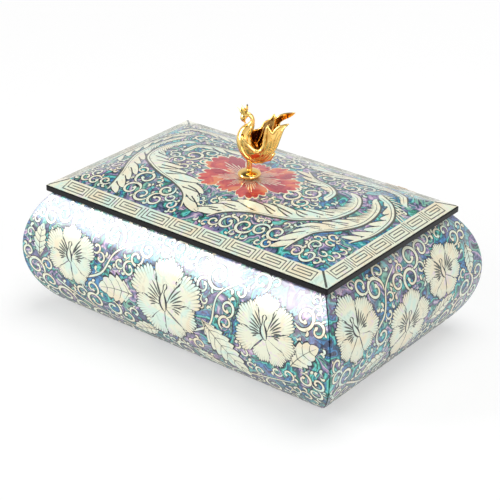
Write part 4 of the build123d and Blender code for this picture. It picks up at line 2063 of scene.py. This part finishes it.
@dataclass
class Chasing:
    """Rolled rims, feather ribs, eyes and a beak line on the gilt swan.

    Lines are drawn on the swan's side, forwards and up from the middle of its foot, and pressed
    sideways onto the castings.
    """

    reach: float = 14.0
    miss_share: float = 0.6
    rim_steps: int = 40
    rib_steps: int = 24
    beak_steps: int = 12
    roll_radius: float = 0.85
    rim_radius: float = 0.5
    edge_radius: float = 0.36
    rib_radius: float = 0.24
    beak_radius: float = 0.13
    eye_radius: float = 0.34
    eye: tuple[float, float] = (1.75, 24.0)
    beak: Knots = ((2.2, 22.5), (1.9, 21.8), (1.5, 21.1))
    near_rims: tuple[Knots, ...] = (
        ((2.3, 17.9), (-0.2, 15.3), (-2.2, 13.3), (-4.3, 12.4), (-6.3, 14.6), (-7.0, 19.0), (-7.9, 23.3)),
        ((-7.9, 23.2), (-8.7, 21.5), (-9.8, 20.3), (-10.9, 21.9), (-12.8, 23.5), (-15.6, 24.4)),
    )
    near_edges: tuple[Knots, ...] = (
        ((-15.6, 24.4), (-13.9, 22.7), (-12.2, 18.2), (-11.0, 14.9), (-8.6, 11.0), (-5.2, 7.0)),
        ((-2.2, 7.0), (-0.5, 9.0), (1.2, 11.0), (2.4, 13.9), (2.2, 17.8)),
    )
    near_ribs: tuple[Knots, ...] = (
        ((-3.6, 8.2), (-5.8, 11.6), (-7.5, 15.6), (-7.9, 20.6)),
        ((-4.5, 8.2), (-7.4, 12.3), (-8.9, 16.4), (-9.3, 19.6)),
        ((-5.0, 8.2), (-8.6, 13.0), (-10.3, 17.6), (-12.0, 22.2)),
        ((-5.6, 8.6), (-9.6, 13.6), (-11.4, 18.4), (-13.8, 23.2)),
        ((-1.4, 8.6), (0.2, 11.4), (0.9, 14.0), (0.8, 16.0)),
        ((-2.0, 8.6), (-1.2, 11.4), (-0.9, 13.6), (-1.2, 14.2)),
    )
    far_rims: tuple[Knots, ...] = (
        ((2.2, 17.8), (-0.6, 16.4), (-3.1, 17.3), (-4.3, 19.4), (-6.2, 20.7), (-7.2, 21.8), (-7.9, 23.3)),
        ((-7.9, 23.2), (-8.1, 22.0), (-8.0, 20.6), (-9.5, 22.2), (-11.7, 23.5), (-15.6, 24.4)),
        (
            *((-15.6, 24.4), (-13.4, 22.7), (-11.0, 21.4), (-9.7, 19.7)),
            *((-10.1, 15.6), (-8.6, 11.0), (-5.2, 7.0)),
        ),
    )
    far_ribs: tuple[Knots, ...] = (
        ((-1.6, 11.5), (-3.0, 14.0), (-4.4, 18.6)),
        ((-3.0, 11.0), (-4.9, 14.4), (-6.4, 19.9)),
        ((-4.2, 10.8), (-6.8, 14.8), (-7.7, 19.4)),
        ((-5.4, 10.8), (-8.4, 15.4), (-8.9, 19.8)),
    )

    @cached_property
    def left(self) -> Vector:
        """Returns the direction to the swan's left."""
        return UP.cross(Vector(AHEAD))

    def skin(self, node: str) -> BVHTree:
        """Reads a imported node's surface for ray tests.

        Args:
            node: The node's name.

        Returns:
            Its surface, in metres.
        """
        data = frame["nodes"][node].data
        spots = [vert.co for vert in data.vertices]
        return BVHTree.FromPolygons(spots, [list(face.vertices) for face in data.polygons])

    def press(self, skin: BVHTree, knots: Knots, start: float, way: int, count: int) -> list[Vector]:
        """Presses a line sideways onto a casting.

        Args:
            skin: The casting's surface.
            knots: The line's knots, forwards and up.
            start: Where the press starts, to the swan's left of its middle.
            way: Where it goes: 1 to the swan's left and -1 to its right.
            count: Steps along the line.

        Returns:
            The points where it meets the surface, or the nearest ones where it misses.
        """
        origin = UP * node_box("swan_body")[0].z
        line = smooth_path([Vector(AHEAD) * run + UP * rise for run, rise in knots], count)
        spots = []
        for spot in line:
            place = (origin + spot + self.left * start) * MM
            hit = skin.ray_cast(place, self.left * way)[0]
            near = place - self.left * (start * self.miss_share * MM)
            spots.append((hit or skin.find_nearest(near)[0]) / MM)
        return spots

    def wire(self, mesh: BMesh, path: Path, radius: float) -> None:
        """Lays one wire along a pressed line."""
        tube(mesh, path, self.left, radius)

    def cast(self, name: str, mesh: BMesh) -> None:
        """Finishes gilt wires as one piece."""
        bmesh.ops.recalc_face_normals(mesh, faces=mesh.faces[:])
        finish_piece(name, mesh, Finish.GILT, "lid")

    def rims(self) -> None:
        """Rolls the rims of both wings."""
        for name, node, side, lines, edges in (
            ("swan_left_rims", "swan_left_wing", 1, self.near_rims, self.near_edges),
            ("swan_right_rims", "swan_right_wing", -1, self.far_rims, ()),
        ):
            skin = self.skin(node)
            mesh = bmesh.new()
            for knots in (*lines, *edges):
                radius = self.edge_radius if knots in edges else self.rim_radius
                radius = self.roll_radius if knots is self.near_rims[0] else radius
                path = self.press(skin, knots, side * self.reach, -side, self.rim_steps)
                self.wire(mesh, path, radius)
            self.cast(name, mesh)

    def ribs(self) -> None:
        """Chases the feathers: outside on the near wing and on both sides of the far one."""
        mesh = bmesh.new()
        left, right = self.skin("swan_left_wing"), self.skin("swan_right_wing")
        for skin, lines, start, way in (
            (left, self.near_ribs, self.reach, -1),
            (right, self.far_ribs, 0.0, -1),
            (right, self.far_ribs, -self.reach, 1),
        ):
            for knots in lines:
                path = self.press(skin, knots, start, way, self.rib_steps)
                self.wire(mesh, path, self.rib_radius)
        self.cast("swan_feather_ribs", mesh)

    def head(self) -> None:
        """Sets the eyes and chases the beak's line on both sides."""
        skin = self.skin("swan_body")
        eyes, beak = bmesh.new(), bmesh.new()
        for side in (1, -1):
            start = side * self.reach
            spot = self.press(skin, (self.eye, self.eye), start, -side, 1)[0]
            place = Matrix.Translation(spot)
            bmesh.ops.create_icosphere(eyes, subdivisions=2, radius=self.eye_radius, matrix=place)
            line = self.press(skin, self.beak, start, -side, self.beak_steps)
            self.wire(beak, line, self.beak_radius)
        finish_piece("swan_eyes", eyes, Finish.LACQUER, "lid")
        self.cast("swan_beak_lines", beak)

    def build(self) -> None:
        """Builds the chased parts."""
        self.rims()
        self.ribs()
        self.head()


# Studio


@dataclass(frozen=True)
class Lamp:
    """A soft lamp that points at the box, with its place and size in metres and its power in watts.

    It is turned by its roll, in degrees, about its own axis. Where it is flagged, it only gives a
    gleam on some finishes, and where it is unmirrored, gloss doesn't show it.
    """

    name: str
    place: Triple
    size: tuple[float, float]
    power: float
    roll: float = 0.0
    flagged: tuple[Finish, ...] = ()
    mirrored: bool = True


WALL_SHELL = (Finish.WALL_ABALONE, Finish.WALL_VINE, Finish.PETAL, Finish.LEAF)
GILDING = (Finish.GILT, Finish.GILT_LEFT, Finish.GILT_RIGHT)
LAMPS = (
    Lamp("top", (0.1, 0.25, 1.15), (0.9, 0.9), 9.2),
    Lamp("side", (0.95, -0.25, 0.5), (0.4, 0.6), 1.9),
    Lamp("window", (-0.72, -0.85, 0.32), (0.4, 0.95), 7.8, 17.0, mirrored=False),
    Lamp("window_gleam", (-0.68, -0.72, 0.58), (0.46, 0.7), 16.0, 27.0, WALL_SHELL),
    Lamp("gilt_gleam", (-0.7, -0.85, 0.3), (0.4, 0.95), 14.0, 20.0, GILDING),
    Lamp("gilt_rim", (0.85, -0.6, 0.2), (0.2, 0.9), 5.0, 0.0, GILDING),
)


@dataclass(frozen=True)
class Studio:
    """Floor, lamps, surroundings and camera."""

    camera_place: Triple = (0.3223, -0.4016, 0.2939)
    camera_back: Triple = (0.55577, -0.69312, 0.45903)
    lens: float = 111.53
    sensor: float = 36.0
    clip_start: float = 0.01
    aim: Triple = (0.0, 0.0, 0.03)
    floor_size: float = 6.0
    grain_scale: float = 40.0
    floor_colour: Colour = shade(254, 254, 254)
    floor_glow: float = 0.52
    fade_start: float = 0.16
    fade_end: float = 0.6
    fill: float = 0.32
    horizon: float = 0.8
    ceiling: float = 0.1
    ceiling_start: float = 0.5
    ceiling_full: float = 0.85

    def camera(self) -> None:
        """Sets up the camera."""
        data = bpy.data.cameras.new("camera")
        data.lens = self.lens
        data.sensor_width = self.sensor
        data.clip_start = self.clip_start
        piece = linked("camera", data)
        piece.location = self.camera_place
        piece.rotation_mode = "QUATERNION"
        piece.rotation_quaternion = (-Vector(self.camera_back)).to_track_quat("-Z", "Y")
        bpy.context.scene.camera = piece

    def floor(self) -> None:
        """Lays the pale floor."""
        mesh = bmesh.new()
        bmesh.ops.create_grid(mesh, x_segments=1, y_segments=1, size=self.floor_size / 2)
        piece = meshed("floor", mesh)
        piece.data.materials.append(self.floor_material())

    def floor_material(self) -> Material:
        """Builds the floor's white, which keeps a pale shadow round the box.

        Returns:
            The material.
        """
        graph, where = blank("floor")
        grain = graph.noise(where, self.grain_scale)
        away = graph.add("ShaderNodeVectorMath", {"operation": "LENGTH"}, {0: where}, 1)
        glow = away.spread(self.fade_start, self.fade_end, self.floor_glow, 1.0)
        look = {"Base Color": self.floor_colour, "Roughness": grain.spread(0.3, 0.7, 0.7, 0.8)}
        matt = graph.add("ShaderNodeBsdfPrincipled", {}, look)
        white = graph.add("ShaderNodeEmission", {}, {"Strength": 1.0})
        shown = graph.rays()[1]
        mixed = graph.add("ShaderNodeMixShader", {}, {0: shown * glow, 1: matt, 2: white})
        return graph.close(mixed)

    def hang(self, lamp: Lamp) -> None:
        """Hangs one lamp.

        Args:
            lamp: The lamp.
        """
        data = bpy.data.lights.new(lamp.name, "AREA")
        data.shape = "RECTANGLE"
        data.size, data.size_y = lamp.size
        data.energy = lamp.power
        piece = linked(lamp.name, data)
        piece.location = lamp.place
        piece.rotation_mode = "QUATERNION"
        turned = Quaternion(UP, math.radians(lamp.roll))
        ahead = Vector(self.aim) - Vector(lamp.place)
        piece.rotation_quaternion = ahead.to_track_quat("-Z", "Y") @ turned
        piece.visible_glossy = lamp.mirrored
        if lamp.flagged:
            self.flag(piece, lamp.flagged)

    def flag(self, lamp: Object, finishes: Sequence[Finish]) -> None:
        """Keeps a lamp off everything but the gloss of some finishes, as a studio's flags do.

        Args:
            lamp: The lamp.
            finishes: The finishes that it may gleam on.
        """
        lamp.visible_diffuse = False
        lit = bpy.data.collections.new(f"{lamp.name}_lit")
        materials = {finish.material for finish in finishes}
        for piece in bpy.context.scene.objects:
            if materials & {slot.material for slot in piece.material_slots}:
                lit.objects.link(piece)
        lamp.light_linking.receiver_collection = lit

    def surroundings(self) -> None:
        """Gives the world its light, a white background and a dim ceiling that gloss shows."""
        graph = Graph(bpy.data.worlds.new("world"))
        camera, shown = graph.rays()
        view = graph.add("ShaderNodeTexCoord", {}, {}, "Generated")
        height = graph.add("ShaderNodeSeparateXYZ", {}, {0: view}, "Z")
        sight = height.spread(self.ceiling_start, self.ceiling_full, self.horizon, self.ceiling)
        strength = camera.either(shown * sight + (1 - shown) * self.fill)
        white = {"Color": (1.0, 1.0, 1.0, 1.0), "Strength": strength}
        sky = graph.add("ShaderNodeBackground", {}, white)
        bpy.context.scene.world = graph.close(sky, "ShaderNodeOutputWorld")

    def build(self) -> None:
        """Builds the studio."""
        self.camera()
        self.floor()
        self.surroundings()
        for lamp in LAMPS:
            self.hang(lamp)
        bpy.context.scene.view_settings.view_transform = "Standard"


# Box


@dataclass
class Box:
    """The whole box."""

    lid_edge: float = 2.35

    def walls(self) -> list[WallInlay]:
        """Takes the walls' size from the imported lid.

        Returns:
            The inlay of the front, right, back and left walls.
        """
        length, width, _ = node_box("lid_board")[1]
        faces = [
            WallFace("front", -BACK, length, width),
            WallFace("right", RIGHT, width, length),
            WallFace("back", BACK, length, width),
            WallFace("left", -RIGHT, width, length),
        ]
        return [WallInlay(face, **PATTERNS[face.name]) for face in faces]

    def lid(self) -> LidInlay:
        """Takes the lid's size from its packed board.

        Returns:
            The lid's inlay.
        """
        low, high = node_box("lid_board")
        edge_top = low.z + self.lid_edge
        rise = node_box("lid_pearl_field")[1].z - edge_top
        return LidInlay(LidFace(high.x, high.y, edge_top, rise))

    def plain_nodes(self) -> None:
        """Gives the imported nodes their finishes."""
        walls = [f"{side}_wall" for side in ("front", "back", "left", "right")]
        parts = ("case_leaf", "lid_leaf", "hinge_pin")
        hinges = [f"{side}_{part}" for part in parts for side in ("left", "right")]
        finishes = {
            Finish.LACQUER: [*walls, "base_board", "lid_board"],
            Finish.GILT: ["knob_foot", "swan_body", "swan_crown"],
            Finish.GILT_LEFT: ["swan_left_wing"],
            Finish.GILT_RIGHT: ["swan_right_wing"],
            Finish.BRASS: hinges,
            Finish.STEEL: ["case_leaf_screws", "lid_leaf_screws", "knob_screw", "knob_washer"],
        }
        for finish, nodes in finishes.items():
            for node in nodes:
                finish_node(node, finish)

    def build(self) -> None:
        """Builds every piece."""
        self.plain_nodes()
        for wall in self.walls():
            wall.build()
        self.lid().build()
        Upholstery().build()
        Chasing().build()


def main() -> None:
    """Builds the box and the studio."""
    logging.basicConfig(level=logging.INFO, format="%(name)s %(message)s")
    Box().build()
    Studio().build()


if __name__ == "__main__":
    main()
